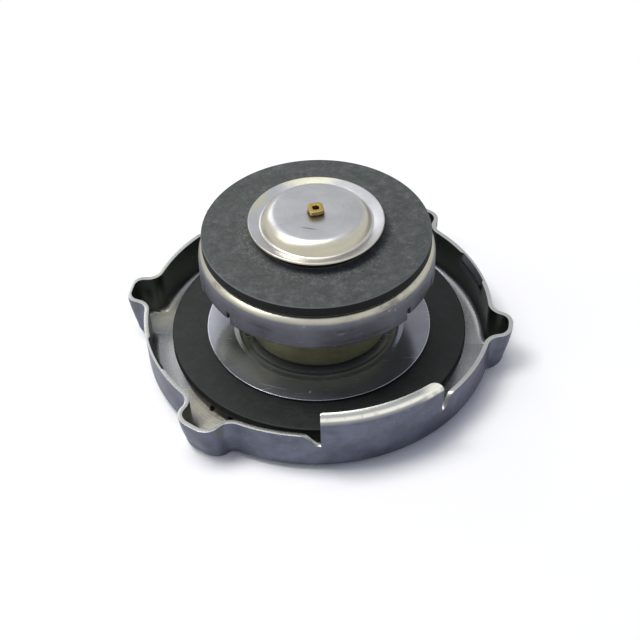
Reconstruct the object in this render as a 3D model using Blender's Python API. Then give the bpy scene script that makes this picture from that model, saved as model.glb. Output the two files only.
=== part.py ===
"""Radiator cap, modelled as it lies on a bench: crown down, valve side up.

Metres, +Z up. The origin is on the cap's axis, at the height of the flat ring that the crown rests on.
Angles run counter-clockwise from +X, seen from above.
"""

import math

import bmesh
import bpy
from mathutils import Matrix, Vector

MM = 0.001

# Clearances and general sizes
GAP = 0.25 * MM  # between pieces that touch, and round every shaft
RUNNING = 0.5 * MM  # between a coil spring and what it runs in
TURNED_STEPS = 40  # facets round a turned piece
SMALL_STEPS = 18  # facets round a piece that is only a few millimetres wide
FILLET_STEPS = 2  # facets in a rounded corner
SMOOTH_ANGLE = math.radians(38.0)
NEAR = math.radians(0.05)  # two angles closer than this are the same

# Crown: a pressed shell with six stations 60 degrees apart
CROWN_SHEET = 0.8 * MM
CROWN_RADIUS = 33.0 * MM  # outside of the plain rim
CROWN_HEIGHT = 9.0 * MM
CROWN_LEAN = 0.3 * MM  # how much narrower the wall is at its foot
CROWN_CORNER = 2.4 * MM  # outside radius between crown and wall
PANEL_RADIUS = 24.6 * MM  # sunk panel in the middle of the crown
PANEL_DEPTH = 2.5 * MM
PANEL_STEP = 2.4 * MM  # width of the slope round the panel
FIRST_STATION = math.radians(290.0)
STATION_PITCH = math.radians(60.0)

# What each station of the crown holds: a lug, or a finger lobe's angle past its station and its height
LUG = None
STATIONS = (
    LUG,
    (math.radians(0.8), 3.8 * MM),
    (math.radians(1.6), 4.0 * MM),
    LUG,
    (math.radians(-1.4), 4.2 * MM),
    (math.radians(0.6), 5.0 * MM),
)

# Finger lobes of the crown
LOBE_FLAT = math.radians(2.6)  # half angles of the lobe's top and of its foot
LOBE_REACH = math.radians(9.6)
LOBE_FADE = 0.28  # share of its height that a lobe loses towards the crown

# Bayonet lugs of the crown
LUG_SPAN = math.radians(20.25)  # half angle
LUG_KNEE = 12.0 * MM  # height at which a lug starts to bend in
LUG_STEP = 0.8 * MM  # how far a lug's wall stands out of the plain rim
LUG_BEND = 2.2 * MM  # outside radius of the bend
LUG_TURN = math.radians(75.0)
LUG_CORNER = 2.2 * MM  # rounded corner at one end, the other end is cut square
NOTCH_DEPTH = 2.0 * MM  # dip of the rim beside each lug
NOTCH_FLOOR = math.radians(0.9)
NOTCH_REACH = math.radians(6.0)

# Coined stops, between the two lobes of a pair
STOP_SPAN = math.radians(7.5)  # half angle
STOP_END = math.radians(0.7)  # slope at each end of a stop
STOP_EDGE = 0.35 * MM  # sheet left at the rim
STOP_LEDGE = 1.3 * MM  # sheet and bulge at the foot of the stop's slope
STOP_DROP = 1.5 * MM
STOP_FOOT = 2.8 * MM

# Gasket, spacer and diaphragm on the crown's panel
GASKET_RADIUS = 27.9 * MM
GASKET_THICKNESS = 1.8 * MM
GASKET_FILLET = 0.3 * MM
GASKET_SQUEEZE = 0.1 * MM  # how much lower it is where the disc clamps it
SPACER_RADIUS = 9.0 * MM
DISC_RADIUS = 21.2 * MM
DISC_SHEET = 0.35 * MM
DISC_RIDGE_RADIUS = 15.2 * MM
DISC_RIDGE_WIDTH = 1.8 * MM
DISC_RIDGE_HEIGHT = 0.25 * MM

# Centre rivet
RIVET_RADIUS = 2.4 * MM
RIVET_HEAD_RADIUS = 4.4 * MM
RIVET_HEAD_HEIGHT = 1.1 * MM
RIVET_FORMED_RADIUS = 4.0 * MM
RIVET_FORMED_HEIGHT = 1.2 * MM
RIVET_CROWNING = 0.7 * MM
WASHER_RADIUS = 5.6 * MM
WASHER_THICKNESS = 0.75 * MM

# Bell housing
BELL_RADIUS = 13.2 * MM
BELL_SHEET = 0.8 * MM
BELL_HEIGHT = 15.5 * MM
BELL_FOOT_FILLET = 1.3 * MM
BELL_RIM_RADIUS = 20.0 * MM
BELL_RIM_FILLET = 2.0 * MM

# Pressure valve
VALVE_TRAVEL = 3.3 * MM
CUP_RADIUS = 21.7 * MM
CUP_SHEET = 0.7 * MM
CUP_SHOULDER = 1.2 * MM
CUP_SKIRT = 6.45 * MM  # from the plate's top to the skirt's edge
TAB_COUNT = 3
FIRST_TAB = math.radians(90.0)
TAB_SPAN = math.radians(11.0)  # half angle of a tab that hooks under the bell's rim
TAB_REACH = 2.8 * MM  # how far a tab is bent in
TAB_DROP = 0.2 * MM  # fall of a tab from its knee to its end
SLIT_WIDTH = math.radians(2.2)
SLIT_HEIGHT = 1.9 * MM
SEAL_RADIUS = 21.0 * MM
SEAL_THICKNESS = 2.3 * MM
SEAL_FILLET = 0.3 * MM
SEAL_RELIEF = 0.1 * MM  # how much lower it is beside the vacuum valve's seat
SEAL_LIP_WIDTH = 1.4 * MM  # raised seat of the vacuum valve
SEAL_LIP_HEIGHT = 1.05 * MM

# Guide of the vacuum valve's stem, clamped through rubber and plate
GUIDE_RADIUS = 6.2 * MM
GUIDE_WALL = 0.7 * MM
GUIDE_FLANGE_RADIUS = 8.1 * MM
GUIDE_FLANGE_THICKNESS = 0.6 * MM
GUIDE_BEAD_RADIUS = 7.1 * MM
GUIDE_FLOOR_DROP = 1.0 * MM  # height of the bead under the plate
GUIDE_FLOOR_THICKNESS = 0.6 * MM
VENT_COUNT = 4
VENT_RADIUS = 1.0 * MM
VENT_CIRCLE = 3.7 * MM

# Vacuum valve
VACUUM_TRAVEL = 2.0 * MM
DOME_FLANGE_RADIUS = 12.3 * MM
DOME_SHEET = 0.45 * MM
DOME_BASE_RADIUS = 10.1 * MM
DOME_TOP_RADIUS = 8.9 * MM
DOME_HEIGHT = 2.45 * MM
DOME_DISH = 0.8 * MM  # rise of the flange from the dome's foot to the flange's edge
DOME_FOOT_FILLET = 0.5 * MM
DOME_TOP_FILLET = 2.2 * MM
STEM_RADIUS = 1.15 * MM
STEM_HEAD_RADIUS = 1.55 * MM
STEM_HEAD_HEIGHT = 0.75 * MM
STEM_SHOULDER_RADIUS = 2.5 * MM
STEM_SHOULDER_HEIGHT = 0.8 * MM
STEM_BORE_RADIUS = 0.65 * MM
STEM_BORE_DEPTH = 3.0 * MM
STEM_FOOT_RADIUS = 1.75 * MM
STEM_FOOT_HEIGHT = 0.8 * MM
STEM_CHAMFER = 0.22 * MM
RETAINER_RADIUS = 3.7 * MM
RETAINER_THICKNESS = 0.6 * MM

# Coil springs
MAIN_WIRE = 2.0 * MM
MAIN_ACTIVE_TURNS = 4.0
MAIN_SIDES = 2  # bevel resolution of the wire
LIGHT_WIRE = 0.45 * MM
LIGHT_COIL_RADIUS = 2.7 * MM
LIGHT_ACTIVE_TURNS = 5.0
LIGHT_SIDES = 1
LIGHT_ROOM = 2.3 * MM  # left between its turns when the vacuum valve is wide open
CLOSED_TURNS = 1.0  # at each end of a coil
CLOSED_PITCH = 1.06  # rise of a closed turn, in wire thicknesses
TURN_POINTS = 12

# Heights, from the bench up
PANEL_TOP = PANEL_DEPTH + CROWN_SHEET
GASKET_FOOT = PANEL_TOP + GAP
GASKET_TOP = GASKET_FOOT + GASKET_THICKNESS
DISC_FOOT = GASKET_TOP + GAP
DISC_TOP = DISC_FOOT + DISC_SHEET
BELL_FOOT = DISC_TOP + GAP
BELL_FLOOR = BELL_FOOT + BELL_SHEET
BELL_TOP = BELL_FOOT + BELL_HEIGHT
WASHER_FOOT = BELL_FLOOR + GAP
WASHER_TOP = WASHER_FOOT + WASHER_THICKNESS
PLATE_FOOT = BELL_TOP + VALVE_TRAVEL + GAP
PLATE_TOP = PLATE_FOOT + CUP_SHEET
SKIRT_EDGE = PLATE_TOP - CUP_SKIRT
TAB_KNEE = BELL_TOP - BELL_SHEET - GAP - CUP_SHEET
SEAL_FOOT = PLATE_TOP + GAP
SEAL_TOP = SEAL_FOOT + SEAL_THICKNESS
SEAL_LIP_TOP = SEAL_TOP + SEAL_LIP_HEIGHT
GUIDE_FLANGE_FOOT = SEAL_TOP + GAP
GUIDE_TOP = GUIDE_FLANGE_FOOT + GUIDE_FLANGE_THICKNESS
GUIDE_BEAD_TOP = PLATE_FOOT - GAP
GUIDE_FOOT = GUIDE_BEAD_TOP - GUIDE_FLOOR_DROP
DOME_FOOT = SEAL_LIP_TOP + GAP
DOME_FOOT_TOP = DOME_FOOT + DOME_SHEET
DOME_TOP = DOME_FOOT_TOP + DOME_HEIGHT
LIGHT_SOLID = (LIGHT_ACTIVE_TURNS + 2.0 * CLOSED_TURNS + 1.0) * LIGHT_WIRE
RETAINER_TOP = GUIDE_FOOT - 2.0 * GAP - LIGHT_SOLID - LIGHT_ROOM - VACUUM_TRAVEL
RETAINER_FOOT = RETAINER_TOP - RETAINER_THICKNESS

# Bores that clear a shaft
RIVET_HOLE = RIVET_RADIUS + GAP
STEM_HOLE = STEM_RADIUS + GAP
GUIDE_HOLE = GUIDE_RADIUS + GAP

# Finishes: colour, metallic, roughness
FINISHES = {
    "crown_steel": ((0.30, 0.31, 0.36), 1.0, 0.34),
    "gasket_rubber": ((0.035, 0.037, 0.038), 0.0, 0.55),
    "disc_steel": ((0.50, 0.51, 0.56), 1.0, 0.12),
    "yellow_zinc": ((0.52, 0.49, 0.27), 1.0, 0.35),
    "plain_zinc": ((0.45, 0.46, 0.48), 1.0, 0.38),
    "spring_steel": ((0.26, 0.27, 0.29), 1.0, 0.32),
    "cup_steel": ((0.40, 0.40, 0.44), 1.0, 0.30),
    "seal_rubber": ((0.11, 0.11, 0.115), 0.0, 0.75),
    "stainless": ((0.58, 0.58, 0.60), 1.0, 0.26),
    "brass": ((0.60, 0.43, 0.16), 1.0, 0.28),
}


def finish(name):
    """Return the material of that name, made on its first use."""
    material = bpy.data.materials.get(name)
    if material is None:
        colour, metallic, roughness = FINISHES[name]
        material = bpy.data.materials.new(name)
        material.use_nodes = True
        material.diffuse_color = (*colour, 1.0)
        shader = material.node_tree.nodes["Principled BSDF"]
        shader.inputs["Base Color"].default_value = (*colour, 1.0)
        shader.inputs["Metallic"].default_value = metallic
        shader.inputs["Roughness"].default_value = roughness
    return material


def place(name, data, finish_name):
    """Link a new object that holds this data, and dress it."""
    piece = bpy.data.objects.new(name, data)
    bpy.context.collection.objects.link(piece)
    data.materials.append(finish(finish_name))
    return piece


def mesh_piece(name, form, finish_name):
    """Make an object from a bmesh, smooth but for its sharp edges."""
    mesh = bpy.data.meshes.new(name)
    form.to_mesh(mesh)
    form.free()
    mesh.shade_smooth()
    mesh.set_sharp_from_angle(angle=SMOOTH_ANGLE)
    return place(name, mesh, finish_name)


def smooth_step(value):
    """Rise from 0 to 1 as value does, level at both ends."""
    value = min(max(value, 0.0), 1.0)
    return 0.5 - 0.5 * math.cos(math.pi * value)


def rounded(corners, closed):
    """Return the points of an outline from its corners, each (radius, height, fillet)."""
    points = []
    last = len(corners) - 1
    for index, (x, z, fillet) in enumerate(corners):
        here = Vector((x, z))
        if fillet == 0.0 or (not closed and index in (0, last)):
            points.append(here)
            continue
        before = (Vector(corners[index - 1][:2]) - here).normalized()
        after = (Vector(corners[(index + 1) % len(corners)][:2]) - here).normalized()
        half = before.angle(after) / 2.0
        centre = here + (before + after).normalized() * fillet / math.sin(half)
        first = (here + before * fillet / math.tan(half) - centre).normalized()
        final = (here + after * fillet / math.tan(half) - centre).normalized()
        points += [
            centre + first.slerp(final, step / FILLET_STEPS) * fillet for step in range(FILLET_STEPS + 1)
        ]
    return points


def beside(path, thickness):
    """Return the corners of a path's other face, a sheet's thickness to its left."""
    points = [Vector(corner[:2]) for corner in path]
    runs = [(end - start).normalized() for start, end in zip(points, points[1:])]
    corners = []
    for index, point in enumerate(points):
        into = runs[max(index - 1, 0)]
        out = runs[min(index, len(runs) - 1)]
        normal = Vector((-into.y - out.y, into.x + out.x)).normalized()
        shift = thickness / normal.dot(Vector((-out.y, out.x)))
        turn = math.copysign(1.0, into.x * out.y - into.y * out.x)
        fillet = path[index][2]
        if fillet > 0.0:
            fillet = max(fillet - turn * thickness, 0.0)
        corners.append((*(point + normal * shift), fillet))
    return corners


def sheet_outline(path, thickness):
    """Return the closed outline of a sheet whose one face follows path."""
    return rounded(path, False) + rounded(beside(path, thickness), False)[::-1]


def turned(name, outline, finish_name, steps=TURNED_STEPS):
    """Turn a closed outline, or one that starts and ends on the axis, into a solid."""
    form = bmesh.new()
    corners = [form.verts.new((x, 0.0, z)) for x, z in outline]
    edges = [form.edges.new(pair) for pair in zip(corners, corners[1:])]
    if outline[0][0] > 0.0:
        edges.append(form.edges.new((corners[-1], corners[0])))
    bmesh.ops.spin(
        form,
        geom=corners + edges,
        cent=(0.0, 0.0, 0.0),
        axis=(0.0, 0.0, 1.0),
        angle=2.0 * math.pi,
        steps=steps,
        use_merge=True,
    )
    bmesh.ops.remove_doubles(form, verts=form.verts, dist=0.001 * MM)
    bmesh.ops.recalc_face_normals(form, faces=form.faces)
    return mesh_piece(name, form, finish_name)


def ring(name, bore, radius, foot, top, finish_name, steps=TURNED_STEPS):
    """Make a flat ring."""
    return turned(name, [(radius, top), (radius, foot), (bore, foot), (bore, top)], finish_name, steps)


def skin(rows):
    """Loft closed rings of points into an open skin, and return it with its vertices row by row."""
    form = bmesh.new()
    grid = [[form.verts.new(point) for point in row] for row in rows]
    for lower, upper in zip(grid, grid[1:]):
        bridge(form, lower, upper, range(len(lower)))
    return form, grid


def bridge(form, lower, upper, columns):
    """Fill the quads between two rows of vertices, for these columns and the next of each."""
    for column in columns:
        after = (column + 1) % len(lower)
        form.faces.new((lower[column], lower[after], upper[after], upper[column]))


def thicken(piece, thickness, weights=None):
    """Give a skin its sheet thickness, all of it behind the skin."""
    solid = piece.modifiers.new("Sheet", "SOLIDIFY")
    solid.thickness = thickness
    solid.offset = -1.0
    solid.use_even_offset = True
    if weights:
        solid.vertex_group = weights


def polar(radius, angle, height):
    """Return a point from its distance and angle about the axis."""
    return Vector((radius * math.cos(angle), radius * math.sin(angle), height))


# Crown shell


def station(angle):
    """Return what an angle's station holds, and how far past the middle of that it is."""
    turns = (angle - FIRST_STATION) / STATION_PITCH
    number = round(turns)
    holds = STATIONS[number % len(STATIONS)]
    offset = (turns - number) * STATION_PITCH
    if holds is LUG:
        return holds, offset
    return holds, offset - holds[0]


def from_stop(angle):
    """Return how far an angle is from the nearest coined stop, halfway between the lugs."""
    return abs((angle - FIRST_STATION) % math.pi - math.pi / 2.0)


def lobe_swell(angle):
    """Return how far a finger lobe stands out of the plain rim at an angle."""
    holds, offset = station(angle)
    if holds is LUG:
        return 0.0
    return holds[1] * (1.0 - smooth_step((abs(offset) - LOBE_FLAT) / (LOBE_REACH - LOBE_FLAT)))


def lug_step(angle):
    """Return how much of a lug's bulge there is at an angle, from 0 to 1."""
    holds, offset = station(angle)
    if holds is not LUG:
        return 0.0
    return 1.0 - smooth_step((abs(offset) - LUG_SPAN) / NOTCH_REACH)


def rim_height(angle):
    """Return the height of the rim, which dips beside each lug and is level under it."""
    holds, offset = station(angle)
    if holds is not LUG:
        return CROWN_HEIGHT
    past = abs(offset) - LUG_SPAN - NOTCH_FLOOR
    return CROWN_HEIGHT - NOTCH_DEPTH * (1.0 - smooth_step(past / (NOTCH_REACH - NOTCH_FLOOR)))


def wall_radius(angle, height):
    """Return the outside radius of the crown's wall."""
    wall = CROWN_HEIGHT - CROWN_CORNER
    drop = min(max((CROWN_HEIGHT - height) / wall, 0.0), 1.0)
    swell = lobe_swell(angle) * (1.0 - LOBE_FADE * drop**1.5)
    return CROWN_RADIUS - CROWN_LEAN * drop + swell + LUG_STEP * lug_step(angle) * (1.0 - drop)


def crown_angles():
    """Return the angles of the crown's columns, close together where its outline turns."""
    lobe_steps = 5
    lug_steps = 6
    widest = math.radians(8.5)
    lobe_row = [LOBE_REACH * step / lobe_steps for step in range(-lobe_steps, lobe_steps + 1)]
    stop_row = [-STOP_SPAN - STOP_END, -STOP_SPAN, 0.0, STOP_SPAN, STOP_SPAN + STOP_END]
    corner = LUG_CORNER / CROWN_RADIUS
    notch = [LUG_SPAN + NOTCH_FLOOR, LUG_SPAN + (NOTCH_FLOOR + NOTCH_REACH) / 2.0, LUG_SPAN + NOTCH_REACH]
    lug_row = [-angle for angle in notch[::-1]]
    lug_row += [-LUG_SPAN + (2.0 * LUG_SPAN - corner) * step / lug_steps for step in range(lug_steps + 1)]
    lug_row += [LUG_SPAN - corner * share for share in (0.4, 0.1, 0.0)] + notch
    marks = []
    for number, holds in enumerate(STATIONS):
        middle = FIRST_STATION + STATION_PITCH * number
        if holds is LUG:
            marks += [middle + offset for offset in lug_row]
        else:
            marks += [middle + holds[0] + offset for offset in lobe_row]
        between = middle + STATION_PITCH / 2.0
        if from_stop(between) < NEAR:
            marks += [between + offset for offset in stop_row]
    angles = []
    for mark, after in zip(marks, marks[1:] + [marks[0] + 2.0 * math.pi]):
        steps = math.ceil((after - mark) / widest)
        angles += [mark + (after - mark) * step / steps for step in range(steps)]
    return angles


def lug_length(offset):
    """Return the length of a lug's sheet above the notch, shorter at its rounded corner."""
    full = LUG_KNEE - CROWN_HEIGHT + NOTCH_DEPTH + LUG_BEND * LUG_TURN
    inside = max(LUG_SPAN - offset, 0.0) * CROWN_RADIUS
    if inside >= LUG_CORNER:
        return full
    return full - LUG_CORNER + math.sqrt(LUG_CORNER**2 - (LUG_CORNER - inside) ** 2)


def lug_point(angle, length):
    """Return the point on a lug's outer face that lies this far along it from the notch."""
    foot = CROWN_HEIGHT - NOTCH_DEPTH
    rise = LUG_KNEE - foot
    wall = wall_radius(angle, CROWN_HEIGHT)
    if length <= rise:
        start = wall_radius(angle, foot)
        return polar(start + (wall - start) * length / rise, angle, foot + length)
    turn = (length - rise) / LUG_BEND
    return polar(wall - LUG_BEND * (1.0 - math.cos(turn)), angle, LUG_KNEE + LUG_BEND * math.sin(turn))


def crown_rows(angles):
    """Return the rings of the crown's outer face, from the rivet's hole out to the rim."""
    step_share = [0.0, 0.5, 1.0]
    rows = [[polar(RIVET_HOLE, angle, PANEL_DEPTH) for angle in angles]]
    for share in step_share:
        radius = PANEL_RADIUS + PANEL_STEP * share
        height = PANEL_DEPTH * (1.0 - smooth_step(share))
        rows.append([polar(radius, angle, height) for angle in angles])
    corner_steps = 3
    for step in range(corner_steps + 1):
        turn = math.pi / 2.0 * step / corner_steps
        inset = CROWN_CORNER * (1.0 - math.sin(turn))
        height = CROWN_CORNER * (1.0 - math.cos(turn))
        rows.append([polar(wall_radius(angle, CROWN_CORNER) - inset, angle, height) for angle in angles])
    for below in (STOP_FOOT, STOP_DROP, 0.0):
        row = []
        for angle in angles:
            share = (CROWN_HEIGHT - below - CROWN_CORNER) / (CROWN_HEIGHT - CROWN_CORNER)
            height = CROWN_CORNER + (rim_height(angle) - CROWN_CORNER) * share
            row.append(polar(wall_radius(angle, height), angle, height))
        rows.append(row)
    return rows


def crown_shell():
    """Press the crown: sunk panel, lobed wall, two lugs and two coined stops in one sheet."""
    angles = crown_angles()
    form, grid = skin(crown_rows(angles))
    foot = grid[-1]
    stations = [station(angle) for angle in angles]
    in_lug = [holds is LUG and abs(offset) < LUG_SPAN + NEAR for holds, offset in stations]
    spans = [i for i in range(len(angles)) if in_lug[i] and in_lug[(i + 1) % len(angles)]]
    rise = LUG_KNEE - CROWN_HEIGHT + NOTCH_DEPTH
    full = lug_length(0.0)
    bend_steps = 4
    marks = [rise / 2.0] + [rise + (full - rise) * step / bend_steps for step in range(bend_steps + 1)]
    for mark in marks:
        row = []
        for index, angle in enumerate(angles):
            if in_lug[index]:
                length = mark * lug_length(stations[index][1]) / full
                row.append(form.verts.new(lug_point(angle, length)))
            else:
                row.append(None)
        bridge(form, foot, row, spans)
        foot = row
    form.verts.index_update()
    piece = mesh_piece("crown_shell", form, "crown_steel")
    coin_stops(piece, angles, len(grid) - 1)
    thicken(piece, STOP_LEDGE, "sheet")
    return piece


def coin_stops(piece, angles, rim_row):
    """Weight the sheet: plain all over, thin at each stop's rim and thick on the ledge below it."""
    weights = piece.vertex_groups.new(name="sheet")
    count = len(piece.data.vertices)
    weights.add(range(count), CROWN_SHEET / STOP_LEDGE, "REPLACE")
    for column, angle in enumerate(angles):
        if from_stop(angle) < STOP_SPAN + NEAR:
            weights.add([rim_row * len(angles) + column], STOP_EDGE / STOP_LEDGE, "REPLACE")
            weights.add([(rim_row - 1) * len(angles) + column], 1.0, "REPLACE")


# Pieces that turn on the crown


def spacer_washer():
    """Fill the gasket's bore between crown and disc."""
    return ring("spacer_washer", RIVET_HOLE, SPACER_RADIUS, GASKET_FOOT, GASKET_TOP, "plain_zinc")


def upper_gasket():
    """Lay the gasket, whose top seals on the filler neck round the disc."""
    bore = SPACER_RADIUS + RUNNING
    clamped = GASKET_TOP - GASKET_SQUEEZE
    outline = rounded(
        [
            (bore, clamped, 0.0),
            (DISC_RADIUS + GAP, clamped, 0.0),
            (DISC_RADIUS + 2.0 * GAP, GASKET_TOP, 0.0),
            (GASKET_RADIUS, GASKET_TOP, GASKET_FILLET),
            (GASKET_RADIUS, GASKET_FOOT, 0.0),
            (bore, GASKET_FOOT, 0.0),
        ],
        True,
    )
    return turned("upper_gasket", outline, "gasket_rubber")


def spring_disc():
    """Press the diaphragm, a flat disc with one raised ridge."""
    start = DISC_RIDGE_RADIUS - DISC_RIDGE_WIDTH / 2.0
    end = DISC_RIDGE_RADIUS + DISC_RIDGE_WIDTH / 2.0
    path = [
        (RIVET_HOLE, DISC_FOOT, 0.0),
        (start, DISC_FOOT, 0.0),
        (DISC_RIDGE_RADIUS, DISC_FOOT + DISC_RIDGE_HEIGHT, DISC_RIDGE_WIDTH / 2.0),
        (end, DISC_FOOT, 0.0),
        (DISC_RADIUS, DISC_FOOT, 0.0),
    ]
    return turned("spring_disc", sheet_outline(path, DISC_SHEET), "disc_steel")


def bell_housing():
    """Draw the bell: a floor on the disc, a straight wall and a rim turned out."""
    path = [
        (RIVET_HOLE, BELL_FOOT, 0.0),
        (BELL_RADIUS, BELL_FOOT, BELL_FOOT_FILLET),
        (BELL_RADIUS, BELL_TOP - BELL_SHEET, BELL_RIM_FILLET),
        (BELL_RIM_RADIUS, BELL_TOP - BELL_SHEET, 0.0),
    ]
    return turned("bell_housing", sheet_outline(path, BELL_SHEET), "yellow_zinc")


def rivet_washer():
    """Lay the washer under the rivet's formed head."""
    return ring("rivet_washer", RIVET_HOLE, WASHER_RADIUS, WASHER_FOOT, WASHER_TOP, "plain_zinc")


def centre_rivet():
    """Set the rivet, with its head in the crown's panel and its formed head in the bell."""
    head_top = PANEL_DEPTH - GAP
    head_foot = head_top - RIVET_HEAD_HEIGHT
    formed_foot = WASHER_TOP + GAP
    formed_top = formed_foot + RIVET_FORMED_HEIGHT
    outline = rounded(
        [
            (0.0, head_foot, 0.0),
            (RIVET_HEAD_RADIUS, head_foot, RIVET_CROWNING),
            (RIVET_HEAD_RADIUS, head_top, 0.0),
            (RIVET_RADIUS, head_top, 0.0),
            (RIVET_RADIUS, formed_foot, 0.0),
            (RIVET_FORMED_RADIUS, formed_foot, 0.0),
            (RIVET_FORMED_RADIUS, formed_top, RIVET_CROWNING),
            (0.0, formed_top, 0.0),
        ],
        False,
    )
    return turned("centre_rivet", outline, "plain_zinc", SMALL_STEPS)


def coil(name, foot, top, coil_radius, wire, active_turns, sides, finish_name):
    """Wind a compression spring between two heights, with a closed turn at each end."""
    low = foot + wire / 2.0
    high = top - wire / 2.0
    closed_rise = wire * CLOSED_PITCH * CLOSED_TURNS
    turns = active_turns + 2.0 * CLOSED_TURNS
    count = round(turns * TURN_POINTS) + 1
    curve = bpy.data.curves.new(name, "CURVE")
    curve.dimensions = "3D"
    curve.bevel_depth = wire / 2.0
    curve.bevel_resolution = sides
    curve.use_fill_caps = True
    spline = curve.splines.new("POLY")
    spline.points.add(count - 1)
    for index, point in enumerate(spline.points):
        turn = turns * index / (count - 1)
        if turn < CLOSED_TURNS:
            height = low + closed_rise * turn / CLOSED_TURNS
        elif turn > turns - CLOSED_TURNS:
            height = high - closed_rise * (turns - turn) / CLOSED_TURNS
        else:
            share = (turn - CLOSED_TURNS) / active_turns
            height = low + closed_rise + (high - low - 2.0 * closed_rise) * share
        point.co = (*polar(coil_radius, 2.0 * math.pi * turn, height), 1.0)
    return place(name, curve, finish_name)


def main_spring():
    """Wind the pressure valve's spring, in the bell."""
    radius = BELL_RADIUS - BELL_SHEET - RUNNING - MAIN_WIRE / 2.0
    return coil(
        "main_spring",
        BELL_FLOOR + GAP,
        PLATE_FOOT - GAP,
        radius,
        MAIN_WIRE,
        MAIN_ACTIVE_TURNS,
        MAIN_SIDES,
        "spring_steel",
    )


# Pressure valve


def cup_angles():
    """Return the angles of the cup's columns, and those that start a tab or a stretch of skirt."""
    tab_steps = 4
    skirt_steps = 10
    pitch = 2.0 * math.pi / TAB_COUNT
    first = TAB_SPAN + SLIT_WIDTH
    run = pitch - 2.0 * first
    offsets = [TAB_SPAN * (2.0 * step / tab_steps - 1.0) for step in range(tab_steps + 1)]
    offsets += [first + run * step / skirt_steps for step in range(skirt_steps + 1)]
    angles = [FIRST_TAB + pitch * number + offset for number in range(TAB_COUNT) for offset in offsets]
    starts = [column for column in range(len(angles)) if column % len(offsets) not in (tab_steps, len(offsets) - 1)]
    tabs = [column % len(offsets) <= tab_steps for column in range(len(angles))]
    return angles, starts, tabs


def valve_cup():
    """Press the plate with its shoulder and skirt, and bend three tabs in under the bell's rim."""
    angles, starts, tabs = cup_angles()
    shoulder_steps = 3
    slit_top = TAB_KNEE + SLIT_HEIGHT
    profile = [(GUIDE_HOLE, PLATE_TOP)]
    for step in range(shoulder_steps + 1):
        turn = math.pi / 2.0 * step / shoulder_steps
        radius = CUP_RADIUS - CUP_SHOULDER * (1.0 - math.sin(turn))
        profile.append((radius, PLATE_TOP - CUP_SHOULDER * (1.0 - math.cos(turn))))
    profile.append((CUP_RADIUS, slit_top))
    form, grid = skin([[polar(radius, angle, height) for angle in angles] for radius, height in profile])
    knee = [form.verts.new(polar(CUP_RADIUS, angle, TAB_KNEE)) for angle in angles]
    edge = []
    for angle, in_tab in zip(angles, tabs):
        radius = CUP_RADIUS - TAB_REACH if in_tab else CUP_RADIUS
        height = TAB_KNEE - TAB_DROP if in_tab else SKIRT_EDGE
        edge.append(form.verts.new(polar(radius, angle, height)))
    bridge(form, grid[-1], knee, starts)
    bridge(form, knee, edge, starts)
    bmesh.ops.reverse_faces(form, faces=form.faces)
    piece = mesh_piece("valve_cup", form, "cup_steel")
    thicken(piece, CUP_SHEET)
    return piece


def valve_seal():
    """Mould the pressure valve's rubber, with the raised seat of the vacuum valve."""
    lip_in = DOME_BASE_RADIUS - SEAL_LIP_WIDTH / 2.0
    lip_out = DOME_BASE_RADIUS + SEAL_LIP_WIDTH / 2.0
    relieved = SEAL_TOP - SEAL_RELIEF
    outline = rounded(
        [
            (lip_in, SEAL_TOP, 0.0),
            (lip_in, SEAL_LIP_TOP, 0.0),
            (lip_out, SEAL_LIP_TOP, 0.0),
            (lip_out, relieved, 0.0),
            (DOME_FLANGE_RADIUS + GAP, relieved, 0.0),
            (DOME_FLANGE_RADIUS + 2.0 * GAP, SEAL_TOP, 0.0),
            (SEAL_RADIUS, SEAL_TOP, SEAL_FILLET),
            (SEAL_RADIUS, SEAL_FOOT, 0.0),
            (GUIDE_HOLE, SEAL_FOOT, 0.0),
            (GUIDE_HOLE, SEAL_TOP, 0.0),
        ],
        True,
    )
    return turned("valve_seal", outline, "seal_rubber")


def stem_guide():
    """Make the flanged guide that clamps rubber and plate, with vents in its floor."""
    bore = GUIDE_RADIUS - GUIDE_WALL
    floor = GUIDE_FOOT + GUIDE_FLOOR_THICKNESS
    outline = [
        (GUIDE_FLANGE_RADIUS, GUIDE_TOP),
        (GUIDE_FLANGE_RADIUS, GUIDE_FLANGE_FOOT),
        (GUIDE_RADIUS, GUIDE_FLANGE_FOOT),
        (GUIDE_RADIUS, GUIDE_BEAD_TOP),
        (GUIDE_BEAD_RADIUS, GUIDE_BEAD_TOP),
        (GUIDE_BEAD_RADIUS, GUIDE_FOOT),
        (STEM_HOLE, GUIDE_FOOT),
        (STEM_HOLE, floor),
        (bore, floor),
        (bore, GUIDE_TOP),
    ]
    piece = turned("stem_guide", outline, "plain_zinc", SMALL_STEPS)
    drills = bmesh.new()
    drill_sides = 10
    drill_length = 4.0 * GUIDE_FLOOR_THICKNESS
    for number in range(VENT_COUNT):
        centre = polar(VENT_CIRCLE, 2.0 * math.pi * number / VENT_COUNT, GUIDE_FOOT)
        bmesh.ops.create_cone(
            drills,
            cap_ends=True,
            segments=drill_sides,
            radius1=VENT_RADIUS,
            radius2=VENT_RADIUS,
            depth=drill_length,
            matrix=Matrix.Translation(centre),
        )
    cutter = mesh_piece("vent_drills", drills, "plain_zinc")
    cutter.hide_render = True
    cutter.display_type = "WIRE"
    vents = piece.modifiers.new("Vents", "BOOLEAN")
    vents.operation = "DIFFERENCE"
    vents.object = cutter
    return piece


# Vacuum valve


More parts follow.
